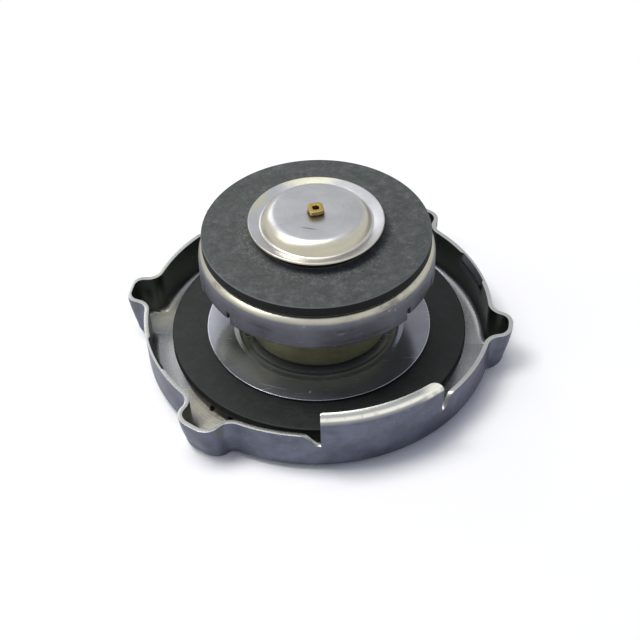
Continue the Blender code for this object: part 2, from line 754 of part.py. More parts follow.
def vacuum_disc():
    """Draw the domed disc that closes the vacuum valve, with a dished flange."""
    path = [
        (STEM_HOLE, DOME_TOP, 0.0),
        (DOME_TOP_RADIUS, DOME_TOP, DOME_TOP_FILLET),
        (DOME_BASE_RADIUS, DOME_FOOT_TOP, DOME_FOOT_FILLET),
        (DOME_FLANGE_RADIUS, DOME_FOOT_TOP + DOME_DISH, 0.0),
    ]
    return turned("vacuum_disc", sheet_outline(path, -DOME_SHEET), "stainless")


def vacuum_stem():
    """Turn the hollow stem: head on the dome, shoulder under it, shaft and peened foot."""
    head_foot = DOME_TOP + GAP
    head_top = head_foot + STEM_HEAD_HEIGHT
    shoulder_top = DOME_TOP - DOME_SHEET - GAP
    shoulder_foot = shoulder_top - STEM_SHOULDER_HEIGHT
    foot_top = RETAINER_FOOT - GAP
    foot = foot_top - STEM_FOOT_HEIGHT
    outline = rounded(
        [
            (0.0, head_top - STEM_BORE_DEPTH, 0.0),
            (STEM_BORE_RADIUS, head_top - STEM_BORE_DEPTH, 0.0),
            (STEM_BORE_RADIUS, head_top, 0.0),
            (STEM_HEAD_RADIUS, head_top, STEM_CHAMFER),
            (STEM_HEAD_RADIUS, head_foot, 0.0),
            (STEM_RADIUS, head_foot, 0.0),
            (STEM_RADIUS, shoulder_top, 0.0),
            (STEM_SHOULDER_RADIUS, shoulder_top, 0.0),
            (STEM_SHOULDER_RADIUS, shoulder_foot, 0.0),
            (STEM_RADIUS, shoulder_foot, 0.0),
            (STEM_RADIUS, foot_top, 0.0),
            (STEM_FOOT_RADIUS, foot_top, 0.0),
            (STEM_FOOT_RADIUS, foot, STEM_CHAMFER),
            (0.0, foot, 0.0),
        ],
        False,
    )
    return turned("vacuum_stem", outline, "brass", SMALL_STEPS)


def vacuum_retainer():
    """Make the washer that holds the light spring on the stem."""
    return ring(
        "vacuum_retainer",
        STEM_HOLE,
        RETAINER_RADIUS,
        RETAINER_FOOT,
        RETAINER_TOP,
        "plain_zinc",
        SMALL_STEPS,
    )


def vacuum_spring():
    """Wind the light spring that draws the domed disc onto its seat."""
    return coil(
        "vacuum_spring",
        RETAINER_TOP + GAP,
        GUIDE_FOOT - GAP,
        LIGHT_COIL_RADIUS,
        LIGHT_WIRE,
        LIGHT_ACTIVE_TURNS,
        LIGHT_SIDES,
        "spring_steel",
    )


def clear_scene():
    """Remove what the file holds."""
    for item in list(bpy.data.objects):
        bpy.data.objects.remove(item, do_unlink=True)


def axis_empty(name, parent=None):
    """Make an empty on the cap's axis that carries one moving group."""
    empty = bpy.data.objects.new(name, None)
    bpy.context.collection.objects.link(empty)
    empty.empty_display_size = BELL_HEIGHT
    empty.parent = parent
    return empty


def main():
    """Build the cap, and hang each group on the empty that moves it."""
    clear_scene()
    crown_shell()
    carrier = axis_empty("carrier_axis")
    pressure_valve = axis_empty("pressure_valve_axis", carrier)
    vacuum_valve = axis_empty("vacuum_valve_axis", pressure_valve)
    groups = {
        carrier: (
            spacer_washer,
            upper_gasket,
            spring_disc,
            bell_housing,
            rivet_washer,
            centre_rivet,
            main_spring,
        ),
        pressure_valve: (valve_cup, valve_seal, stem_guide, vacuum_spring),
        vacuum_valve: (vacuum_disc, vacuum_stem, vacuum_retainer),
    }
    for empty, builders in groups.items():
        for build in builders:
            build().parent = empty


main()
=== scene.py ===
"""The looks of a radiator cap that lies crown down, with its valve side up.

The cap stands on z = 0 and its axis is the z axis. Its sizes are in millimetres and its
angles in degrees, counter-clockwise from +X seen from above. The studio is in metres.
"""

import logging
import math
from collections.abc import Callable, Iterable, Sequence
from dataclasses import dataclass
from enum import Enum
from typing import NamedTuple

import bmesh
import bpy
from mathutils import Matrix, Vector


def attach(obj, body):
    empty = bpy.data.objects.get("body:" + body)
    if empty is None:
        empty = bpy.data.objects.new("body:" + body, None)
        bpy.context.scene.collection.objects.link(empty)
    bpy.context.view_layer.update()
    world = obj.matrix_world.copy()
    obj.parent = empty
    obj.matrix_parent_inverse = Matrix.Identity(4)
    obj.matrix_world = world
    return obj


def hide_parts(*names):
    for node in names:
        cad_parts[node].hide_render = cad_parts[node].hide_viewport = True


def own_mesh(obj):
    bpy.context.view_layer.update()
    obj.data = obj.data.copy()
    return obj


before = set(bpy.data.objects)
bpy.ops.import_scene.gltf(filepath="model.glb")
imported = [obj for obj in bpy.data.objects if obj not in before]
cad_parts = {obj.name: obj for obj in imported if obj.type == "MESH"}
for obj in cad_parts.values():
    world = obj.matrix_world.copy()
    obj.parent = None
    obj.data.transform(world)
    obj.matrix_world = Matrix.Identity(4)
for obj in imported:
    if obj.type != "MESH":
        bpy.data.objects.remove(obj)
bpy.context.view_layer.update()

MM = 0.001
CENTRE = (0.0, 0.0, 0.0)
LOG = logging.getLogger("radiator_cap")
ANGLE_SLACK = 0.01
Point = tuple[float, float]
Triple = tuple[float, float, float]
Colour = Triple


class Body(Enum):
    """The bodies that the pieces ride on."""

    CROWN = "crown"
    CARRIER = "valve_carrier"
    PRESSURE = "pressure_valve"
    VACUUM = "vacuum_valve"


# Shaders


def shaded(colour: Colour, gain: float) -> Colour:
    """Return a colour made darker or lighter."""
    return tuple(min(part * gain, 1.0) for part in colour)


def joined(operation: str) -> Callable[["Signal", "Signal | float"], "Signal"]:
    """Return a method of Signal that joins it with another value in a Math node."""
    return lambda signal, other: signal.maths(operation, signal, other)


class Signal:
    """A socket of a shader. Arithmetic on it adds Math nodes."""

    def __init__(self, recipe: "Nodes", socket: bpy.types.NodeSocket) -> None:
        """Wrap an output socket of some nodes."""
        self.recipe = recipe
        self.socket = socket

    def output(self, name: str) -> "Signal":
        """Return another output of the same node."""
        return Signal(self.recipe, self.socket.node.outputs[name])

    def maths(self, operation: str, *values: "Signal | float") -> "Signal":
        """Add a Math node with these inputs and return its result."""
        return self.recipe.node("ShaderNodeMath", {"operation": operation}, dict(enumerate(values)))

    __add__ = joined("ADD")
    __sub__ = joined("SUBTRACT")
    __mul__ = joined("MULTIPLY")
    __truediv__ = joined("DIVIDE")
    __pow__ = joined("POWER")
    either = joined("MAXIMUM")

    def __rsub__(self, other: float) -> "Signal":
        """Subtract from a number."""
        return self.maths("SUBTRACT", other, self)

    def absolute(self) -> "Signal":
        """Drop the sign."""
        return self.maths("ABSOLUTE", self)

    def rise(self, low: float, high: float) -> "Signal":
        """Return a smooth step, 0 at the first value and 1 at the second, which may be the lower."""
        inputs = {"Value": self, "From Min": low, "From Max": high}
        return self.recipe.node("ShaderNodeMapRange", {"interpolation_type": "SMOOTHSTEP"}, inputs)

    def painted(self, mask: "Signal | float", paint: "Signal | Colour") -> "Signal":
        """Return this colour with another over it where the mask is 1."""
        return self.recipe.mix(mask, self, paint)


class Nodes:
    """The nodes of a material or of the world while they are put together."""

    def __init__(self, owner: bpy.types.Material | bpy.types.World) -> None:
        """Start with no nodes.

        Args:
            owner: The material or world.
        """
        owner.use_nodes = True
        self.tree = owner.node_tree
        self.tree.nodes.clear()

    def node(
        self,
        kind: str,
        settings: dict[str, str] | None = None,
        inputs: dict | None = None,
        output: int | str = 0,
    ) -> Signal:
        """Add a node.

        Args:
            kind: The node's type.
            settings: What is set on the node itself.
            inputs: A value or a signal for each socket that isn't left as it is.
            output: The output to return.

        Returns:
            The signal of that output.
        """
        made = self.tree.nodes.new(kind)
        for key, value in (settings or {}).items():
            setattr(made, key, value)
        for key, value in (inputs or {}).items():
            if isinstance(value, Signal):
                self.tree.links.new(value.socket, made.inputs[key])
            else:
                made.inputs[key].default_value = value
        return Signal(self, made.outputs[output])

    def mix(self, factor: Signal | float, first: Signal | Colour, second: Signal | Colour) -> Signal:
        """Mix two colours, with the second's share as the factor."""
        ends = [value if isinstance(value, Signal) else (*value, 1.0) for value in (first, second)]
        return self.node("ShaderNodeMix", {"data_type": "RGBA"}, {0: factor, 6: ends[0], 7: ends[1]}, 2)

    def seen(self) -> Signal:
        """Return 1 for rays that show a surface, also in metal, and 0 for those that light one."""
        camera = self.node("ShaderNodeLightPath", output="Is Camera Ray")
        return camera.either(camera.output("Is Glossy Ray")).either(camera.output("Is Transmission Ray"))

    def finish(self, kind: str, shader: Signal) -> None:
        """Link a shader to an output node of a type."""
        output = self.tree.nodes.new(kind)
        self.tree.links.new(shader.socket, output.inputs["Surface"])


class Recipe(Nodes):
    """A material while it is put together, with its coordinates in millimetres."""

    ON_AXIS = 0.01
    TYPICAL_RADIUS = 20.0

    def __init__(self, name: str) -> None:
        """Start an empty material.

        Args:
            name: The material's name.
        """
        self.material = bpy.data.materials.new(name)
        super().__init__(self.material)
        place = self.node("ShaderNodeTexCoord", output="Object")
        self.place = self.node("ShaderNodeVectorMath", {"operation": "SCALE"}, {0: place, "Scale": 1.0 / MM})
        self.x = self.node("ShaderNodeSeparateXYZ", inputs={0: self.place}, output="X")
        self.y, self.z = self.x.output("Y"), self.x.output("Z")
        self.radius = (self.x * self.x + self.y * self.y) ** 0.5
        normal = self.node("ShaderNodeTexCoord", output="Normal")
        self.facing_up = self.node("ShaderNodeSeparateXYZ", inputs={0: normal}, output="Z")
        self.level = self.facing_up.absolute()
        across = self.x * self.facing_up.output("X") + self.y * self.facing_up.output("Y")
        self.outward = across / self.radius.either(self.ON_AXIS)

    def noise(self, scale: float, detail: float, roughness: float, place: Signal | None = None) -> Signal:
        """Add a noise texture, about 0.5 on average.

        Args:
            scale: Its features to a millimetre.
            detail: Its octaves.
            roughness: How strong the finer octaves are.
            place: The coordinates it reads, if not the material's.

        Returns:
            The noise.
        """
        inputs = {"Vector": place or self.place, "Scale": scale, "Detail": detail, "Roughness": roughness}
        return self.node("ShaderNodeTexNoise", {"noise_dimensions": "3D"}, inputs)

    def drawn(self, across: float, along: float) -> Signal:
        """Return coordinates on which any pattern is drawn out round the axis.

        Args:
            across: Scale across its lines.
            along: Scale along them.

        Returns:
            The coordinates.
        """
        reach = self.radius.either(self.ON_AXIS)
        turn = along * self.TYPICAL_RADIUS
        inputs = {0: self.x / reach * turn, 1: self.y / reach * turn, 2: (self.z + self.radius) * across}
        return self.node("ShaderNodeCombineXYZ", inputs=inputs)

    def scratches(self, angle: float, scale: float, share: float) -> Signal:
        """Return a mask of fine straight scratches.

        Args:
            angle: Their direction in the horizontal plane, in radians.
            scale: How close together they are.
            share: How many there are, from 0 to 1.

        Returns:
            The mask, 1 in a scratch.
        """
        turned = {"Vector": self.place, "Rotation": (0.3, 0.2, angle), "Scale": (0.12, 3.0, 1.5)}
        lines = self.noise(scale, 2.0, 0.6, self.node("ShaderNodeMapping", {"vector_type": "POINT"}, turned))
        patch = self.noise(0.16, 2.0, 0.5)
        return lines.rise(0.70 - 0.08 * share, 0.74 - 0.08 * share) * patch.rise(0.42, 0.60)

    def bump(self, height: Signal, depth: float, under: Signal | None = None) -> Signal:
        """Turn a height into a normal.

        Args:
            height: The height, from 0 to 1.
            depth: The depth of a height of 1.
            under: A normal that this one is laid on.

        Returns:
            The normal.
        """
        inputs = {"Height": height, "Distance": depth, "Strength": 1.0}
        if under:
            inputs["Normal"] = under
        return self.node("ShaderNodeBump", inputs=inputs)

    def surface(self, inputs: dict) -> bpy.types.Material:
        """Finish the material with one Principled shader that has these inputs."""
        self.finish("ShaderNodeOutputMaterial", self.node("ShaderNodeBsdfPrincipled", inputs=inputs))
        return self.material


class Mark(NamedTuple):
    """A speck, scratch or patch seen from above."""

    x: float
    y: float
    length: float
    width: float
    angle: float
    colour: Colour
    core: float = 0.5

    def mask(self, recipe: Recipe) -> Signal:
        """Return the mask of the mark, which has a ragged edge.

        Args:
            recipe: The material.

        Returns:
            The mask, 1 on the mark.
        """
        sine, cosine = math.sin(math.radians(self.angle)), math.cos(math.radians(self.angle))
        ragged = (recipe.noise(1.5, 3.0, 0.7) - 0.5) * 0.9
        right, back = recipe.x - self.x, recipe.y - self.y
        along = (right * cosine + back * sine) * (2.0 / self.length)
        across = (back * cosine - right * sine) * (2.0 / self.width)
        inside = (along * along + across * across + ragged).rise(1.4, self.core)
        return inside * recipe.facing_up.rise(0.3, 0.6)


@dataclass(frozen=True)
class Finish:
    """A finish, made into a material when it is first used."""

    slot: str
    colour: Colour

    def material(self) -> bpy.types.Material:
        """Return this finish's material."""
        name = f"{self.slot}_finish"
        return bpy.data.materials.get(name) or self.cook(Recipe(name))

    def cook(self, recipe: Recipe) -> bpy.types.Material:
        """Put the material together from an empty one."""
        return recipe.surface({"Base Color": (*self.colour, 1.0)})


@dataclass(frozen=True)
class Metal(Finish):
    """Worn metal: mottled, with drawn grain, scratches and a few stains.

    Faces that stand vertical are painted in the shading colour: painted shade where it is darker
    than the level faces' colour, painted highlight where it is lighter. Folds get a painted highlight.
    """

    # Painted shading: the colour of vertical faces, darker for painted shade or lighter for a painted
    # highlight.
    upright_shading: Colour | None = None
    # Painted highlight on the slanted folds between vertical and level faces.
    fold_highlight: Colour | None = None
    upright_rough: float = 0.0
    streaked: float = 0.1
    stain: Colour = (0.10, 0.10, 0.09)
    stained: float = 0.2
    dusty: float = 0.0
    rough: float = 0.3
    rough_spread: float = 0.07
    grain_depth: float = 0.004 * MM
    scratched: float = 0.3
    scratch_gain: float = 1.35
    mottle: float = 0.07
    rubbed_radius: float = 0.0
    edge_tint: Colour = (0.85, 0.85, 0.87)
    dent_depth: float = 0.006 * MM
    spots: tuple[Mark, ...] = ()

    def tint(self, recipe: Recipe) -> Signal:
        """Return the metal's colour with its painted shade and highlights, before stains.

        Args:
            recipe: The material.

        Returns:
            The colour.
        """
        patches = recipe.noise(0.22, 4.0, 0.6).rise(0.3, 0.7)
        # Vertical faces get the painted shading colour, and level faces the metal's own colour.
        shaded_upright, lying = (
            recipe.mix(patches, shaded(colour, 1.0 - self.mottle), shaded(colour, 1.0 + self.mottle))
            for colour in (self.upright_shading or self.colour, self.colour)
        )
        colour = shaded_upright.painted(recipe.level.rise(0.35, 0.9), lying)
        # A painted highlight along the folds.
        if self.fold_highlight:
            fold = recipe.level.rise(0.3, 0.7) * recipe.level.rise(0.96, 0.8)
            colour = colour.painted(fold * (patches * 0.3 + 0.7), self.fold_highlight)
        return colour

    def dust(self, recipe: Recipe) -> Signal:
        """Return how much of the metal is under dust, which lies on faces that look up."""
        return recipe.facing_up.rise(0.5, 0.95) * self.dusty

    def cook(self, recipe: Recipe) -> bpy.types.Material:
        """Put the material together.

        Args:
            recipe: The empty material.

        Returns:
            The finished material.
        """
        drawn = recipe.noise(1.0, 3.0, 0.7, recipe.drawn(3.0, 0.06))
        marks = recipe.scratches(0.5, 0.9, self.scratched).either(recipe.scratches(2.2, 1.1, self.scratched))
        cloud = recipe.noise(0.5, 5.0, 0.62)
        specks = recipe.noise(4.0, 2.0, 0.5).rise(0.66, 0.74)
        broken = recipe.noise(0.35, 3.0, 0.6).rise(0.4, 0.6)
        dirty = cloud.rise(0.56, 0.78) * self.stained + specks * (0.5 * self.stained)
        bright = shaded(self.colour, self.scratch_gain)
        dull = shaded(self.upright_shading or self.colour, 0.3)
        colour = self.tint(recipe).painted(dirty, self.stain).painted(marks * 0.4, bright)
        colour = colour.painted(drawn.rise(0.5, 0.3) * broken * self.streaked, dull)
        if self.rubbed_radius:
            edge = recipe.radius.rise(self.rubbed_radius, self.rubbed_radius + 0.1)
            colour = colour.painted(edge, bright)
        for spot in self.spots:
            colour = colour.painted(spot.mask(recipe), spot.colour)
        rough = (drawn - 0.5) * self.rough_spread + (cloud - 0.5) * (1.6 * self.rough_spread)
        rough += marks * 0.12 + dirty * 0.25 + self.rough
        rough += recipe.level.rise(0.9, 0.3) * self.upright_rough
        dents = recipe.bump(recipe.noise(0.28, 2.0, 0.4), self.dent_depth)
        inputs = {
            "Base Color": colour,
            "Metallic": 1.0 - self.dust(recipe),
            "Roughness": rough,
            "Normal": recipe.bump(drawn - marks * 0.8, self.grain_depth, dents),
            "Specular Tint": (*self.edge_tint, 1.0),
        }
        return recipe.surface(inputs)


@dataclass(frozen=True)
class Shell(Metal):
    """The crown's steel, dusty and stained in its gutter, with painted shade, light and highlights on it."""

    # Painted shade: near black on the inner walls and the notch faces.
    inside: Colour = (0.095, 0.105, 0.09)
    gutter: Colour = (0.33, 0.34, 0.355)
    # A rusty warm tint in the lower left gutter, made pale as painted light over the shade there.
    rust_and_painted_light: Colour = (0.58, 0.54, 0.43)
    gutter_top: float = 3.2
    # Rim and lug colour: partly wear from rubbing, partly a painted highlight.
    rubbed_and_highlight: Colour = (0.38, 0.39, 0.39)
    rubbed_foot: float = 6.0
    rubbed_top: float = 9.4
    # A bright line along the lugs' bends and corners: painted highlight, partly wear from the neck's cams.
    worn_and_highlight: Colour = (0.86, 0.85, 0.76)

    def in_gutter(self, recipe: Recipe) -> Signal:
        """Return the mask of the gutter's floor."""
        return recipe.facing_up.rise(0.5, 0.95) * recipe.z.rise(self.gutter_top, 0.5 * self.gutter_top)

    def on_rim(self, recipe: Recipe) -> Signal:
        """Return the mask of the rim's height and all above it."""
        return recipe.z.rise(self.rubbed_foot, self.rubbed_foot + 1.0)

    def in_notch(self, recipe: Recipe) -> Signal:
        """Return the mask of the faces that are cut through the sheet beside the lugs."""
        across = recipe.outward.absolute().rise(0.6, 0.3) * recipe.level.rise(0.97, 0.85)
        return across * recipe.x.absolute().rise(12.0, 16.0) * self.on_rim(recipe)

    def tint(self, recipe: Recipe) -> Signal:
        """Return the metal's colour with its painted shade, light and highlights, before stains.

        Args:
            recipe: The material.

        Returns:
            The colour.
        """
        level = recipe.level
        # The rusty patches are pale: part tint, part painted light.
        rust_and_light_mask = recipe.noise(0.3, 6.0, 0.7).rise(0.42, 0.64) * recipe.y.rise(-8.0, -17.0)
        floor = recipe.mix(rust_and_light_mask * recipe.x.rise(-6.0, -14.0), self.gutter, self.rust_and_painted_light)
        colour = super().tint(recipe)
        # Inner walls painted near black: painted shade.
        colour = colour.painted(recipe.outward.rise(0.05, -0.05) * level.rise(0.5, 0.2), self.inside)
        colour = colour.painted(self.in_gutter(recipe), floor)
        lug = recipe.z.rise(self.rubbed_top, self.rubbed_top + 0.6)
        # Rim tops and slanted lug faces painted lighter: wear from rubbing and painted highlight.
        rim = level.rise(0.55, 0.97) * self.on_rim(recipe) * (1.0 - lug)
        colour = colour.painted(rim.either(level.rise(0.1, 0.6) * lug), self.rubbed_and_highlight)
        # Notch faces painted near black: painted shade over their glints.
        colour = colour.painted(self.in_notch(recipe) * 0.8, self.inside)
        # Painted highlight line along the lugs' bends and corners, partly cam wear.
        ridge = level.rise(0.42, 0.6) * level.rise(0.82, 0.66)
        corner = recipe.x.absolute().rise(17.0, 20.0) * level.rise(0.1, 0.4)
        blur = recipe.noise(0.6, 4.0, 0.6).rise(0.2, 0.5)
        return colour.painted(ridge.either(corner * 0.9) * lug * blur, self.worn_and_highlight)

    def dust(self, recipe: Recipe) -> Signal:
        """Return how much of the metal is under dust, which lies in the gutter; the notch faces also lose
        their metal, to damp their glints.
        """
        return (self.in_gutter(recipe) * self.dusty).either(self.in_notch(recipe) * 0.9)


@dataclass(frozen=True)
class Rubber(Finish):
    """Moulded rubber: mottled, with pale specks and a fine rough skin; its side is painted darker as painted
    shade and its top edge lighter as a painted highlight.
    """

    pale: Colour = (0.2, 0.2, 0.2)
    speckled: float = 0.5
    rough: float = 0.7
    pit_depth: float = 0.03 * MM
    speck_scale: float = 2.2
    sheen: float = 0.5
    patched: float = 0.3
    painted_edge_highlight: float = 0.4
    # Painted shade: the side faces' share of the rubber's colour.
    side: float = 0.4
    cast: Colour = (0.8, 1.15, 0.85)
    dust_ring: float = 0.0

    def cook(self, recipe: Recipe) -> bpy.types.Material:
        """Put the material together.

        Args:
            recipe: The empty material.

        Returns:
            The finished material.
        """
        cloud = recipe.noise(0.35, 5.0, 0.65)
        fine = recipe.noise(self.speck_scale, 4.0, 0.7)
        patches = recipe.noise(0.8, 8.0, 0.85).rise(0.47, 0.66) * self.patched
        dots = recipe.noise(4.5, 1.0, 0.5).rise(0.68, 0.74) * self.speckled
        hues = recipe.noise(0.45, 3.0, 0.6).rise(0.62, 0.42)
        specks = fine.rise(0.55, 0.72) * self.speckled + cloud.rise(0.4, 0.75) * (0.4 * self.speckled)
        dark = shaded(self.colour, 0.5)
        green = tuple(part * gain for part, gain in zip(dark, self.cast))
        colour = recipe.mix(fine.rise(0.5, 0.3), self.colour, dark)
        colour = colour.painted(specks.either(patches).either(dots), self.pale)
        colour = colour.painted(hues * 0.35, green).painted(cloud.rise(0.5, 0.3) * 0.5, dark)
        if self.dust_ring:
            near = recipe.radius.rise(self.dust_ring - 1.0, self.dust_ring)
            near *= recipe.radius.rise(self.dust_ring + 3.0, self.dust_ring)
            colour = colour.painted(near * fine.rise(0.5, 0.62) * 0.6, shaded(self.pale, 1.3))
        # A painted highlight along the top edge's bevel.
        edge = recipe.level.rise(0.2, 0.5) * recipe.level.rise(0.97, 0.8)
        colour = colour.painted(edge * self.painted_edge_highlight, self.pale)
        inputs = {
            # Side faces painted darker: painted shade.
            "Base Color": colour.painted(recipe.level.rise(0.4, 0.1), shaded(self.colour, self.side)),
            "Roughness": (fine - 0.5) * 0.3 + (cloud - 0.5) * 0.25 + self.rough,
            "Normal": recipe.bump(fine, self.pit_depth, recipe.bump(cloud, 2.0 * self.pit_depth)),
            "Specular IOR Level": self.sheen,
        }
        return recipe.surface(inputs)


@dataclass(frozen=True)
class Paper(Finish):
    """The pale floor, which fades into the white background away from the cap."""

    faded: float = 0.3
    faded_from: float = 31.0
    fade_start: float = 40.0
    fade_end: float = 160.0

    def cook(self, recipe: Recipe) -> bpy.types.Material:
        """Put the material together.

        Args:
            recipe: The empty material.

        Returns:
            The finished material.
        """
        fibres = recipe.mix(recipe.noise(0.8, 3.0, 0.5), shaded(self.colour, 0.99), self.colour)
        paper = recipe.node("ShaderNodeBsdfPrincipled", inputs={"Base Color": fibres, "Roughness": 0.95})
        white = recipe.node("ShaderNodeEmission")
        near = recipe.radius.rise(self.faded_from, self.fade_start) * self.faded
        far = recipe.radius.rise(self.fade_start, self.fade_end) * (1.0 - self.faded)
        shares = {0: (far + near) * recipe.seen(), 1: paper, 2: white}
        recipe.finish("ShaderNodeOutputMaterial", recipe.node("ShaderNodeMixShader", inputs=shares))
        return recipe.material


CROWN_STEEL = Shell(
    "crown_steel",
    (0.30, 0.305, 0.295),
    # The crown's vertical walls are painted darker: painted shade.
    upright_shading=(0.118, 0.127, 0.168),
    dusty=0.65,
    spots=(
        # Two pale warm patches on the gutter floor are painted light; the two dark specks are marks.
        Mark(-29.8, 9.0, 10.0, 6.0, 70.0, (0.42, 0.42, 0.35), -0.4),
        Mark(-21.6, -17.6, 9.0, 5.5, -50.0, (0.58, 0.55, 0.45), -0.4),
        Mark(-19.8, -17.7, 1.7, 1.1, 15.0, (0.03, 0.028, 0.02)),
        Mark(-16.4, -20.6, 1.4, 1.0, -20.0, (0.03, 0.028, 0.02)),
    ),
    rough=0.27,
    upright_rough=0.08,
    mottle=0.2,
    scratched=0.1,
    streaked=0.18,
)
GASKET_RUBBER = Rubber(
    "gasket_rubber", (0.018, 0.020, 0.021), pale=(0.032, 0.033, 0.033), speckled=0.15, rough=0.5, sheen=0.18
)
DISC_STEEL = Metal(
    "disc_steel",
    (0.21, 0.22, 0.255),
    dusty=0.36,
    rough=0.20,
    rough_spread=0.05,
    stained=0.15,
    scratched=0.35,
    scratch_gain=1.6,
    streaked=0.0,
    rubbed_radius=20.95,
    spots=(
        # A dark ragged patch on the left is a painted dark reflection; a pale patch lightens the front left.
        Mark(-15.5, -4.9, 13.5, 6.8, 73.0, (0.11, 0.12, 0.115), 0.8),
        Mark(-13.0, -12.5, 16.0, 6.0, -50.0, (0.36, 0.37, 0.35), -0.6),
        Mark(-1.9, -18.95, 0.7, 0.35, 70.0, (0.7, 0.7, 0.7)),
        Mark(-8.7, -17.3, 5.4, 0.22, -20.0, (0.5, 0.5, 0.5)),
        Mark(-10.0, -17.9, 2.4, 0.2, 10.0, (0.45, 0.45, 0.45)),
    ),
)
# The bell's vertical faces are painted a little darker: painted shade.
YELLOW_ZINC = Metal("yellow_zinc", (0.38, 0.37, 0.22), upright_shading=(0.31, 0.305, 0.18), rough=0.5, streaked=0.3)
PLAIN_ZINC = Metal("plain_zinc", (0.42, 0.43, 0.45), rough=0.35)
SPRING_STEEL = Metal("spring_steel", (0.26, 0.27, 0.29), rough=0.32)
CUP_STEEL = Metal(
    "cup_steel",
    (0.40, 0.40, 0.42),
    # The cup's skirt is painted darker: painted shade.
    upright_shading=(0.14, 0.14, 0.167),
    # Painted highlight along the cup's shoulder.
    fold_highlight=(0.47, 0.455, 0.36),
    upright_rough=0.15,
    streaked=0.7,
)
SEAL_RUBBER = Rubber(
    "seal_rubber",
    (0.070, 0.073, 0.074),
    pale=(0.145, 0.152, 0.152),
    speckled=0.6,
    speck_scale=3.0,
    rough=0.8,
    sheen=0.25,
    patched=0.8,
    painted_edge_highlight=0.7,
    # The seal's side is painted dark: painted shade.
    side=0.1,
    dust_ring=12.6,
)
STAINLESS = Metal(
    "stainless",
    (0.40, 0.405, 0.43),
    # The dome's slopes are painted warm and light: painted highlight.
    upright_shading=(0.56, 0.52, 0.38),
    # Painted highlight along the dome's folds.
    fold_highlight=(0.50, 0.48, 0.39),
    stained=0.06,
    scratched=0.15,
    spots=(
        Mark(-1.3, -4.7, 3.1, 0.35, -16.0, (0.19, 0.19, 0.21), 0.2),
        # Two pale warm patches on the flange's back and left are painted highlights.
        Mark(-1.5, 11.6, 19.0, 2.6, 4.0, (0.60, 0.58, 0.44), -0.6),
        Mark(-10.6, 5.6, 8.0, 2.4, 62.0, (0.46, 0.45, 0.33), -0.6),
    ),
)
BRASS = Metal("brass", (0.34, 0.25, 0.085), rough=0.38)
FLOOR = Paper("floor", (0.965, 0.965, 0.975))

# Shaping


class Corner(NamedTuple):
    """A corner of a turned outline."""

    radius: float
    height: float
    fillet: float = 0.0


def ring(bore: float, radius: float, foot: float, top: float, fillets: Triple) -> list[Corner]:
    """Return the outline of a flat ring, with the fillets of its bore, its lower and its upper edge."""
    places = ((bore, foot), (radius, foot), (radius, top), (bore, top))
    return [Corner(*place, fillet) for place, fillet in zip(places, (*fillets, fillets[0]))]


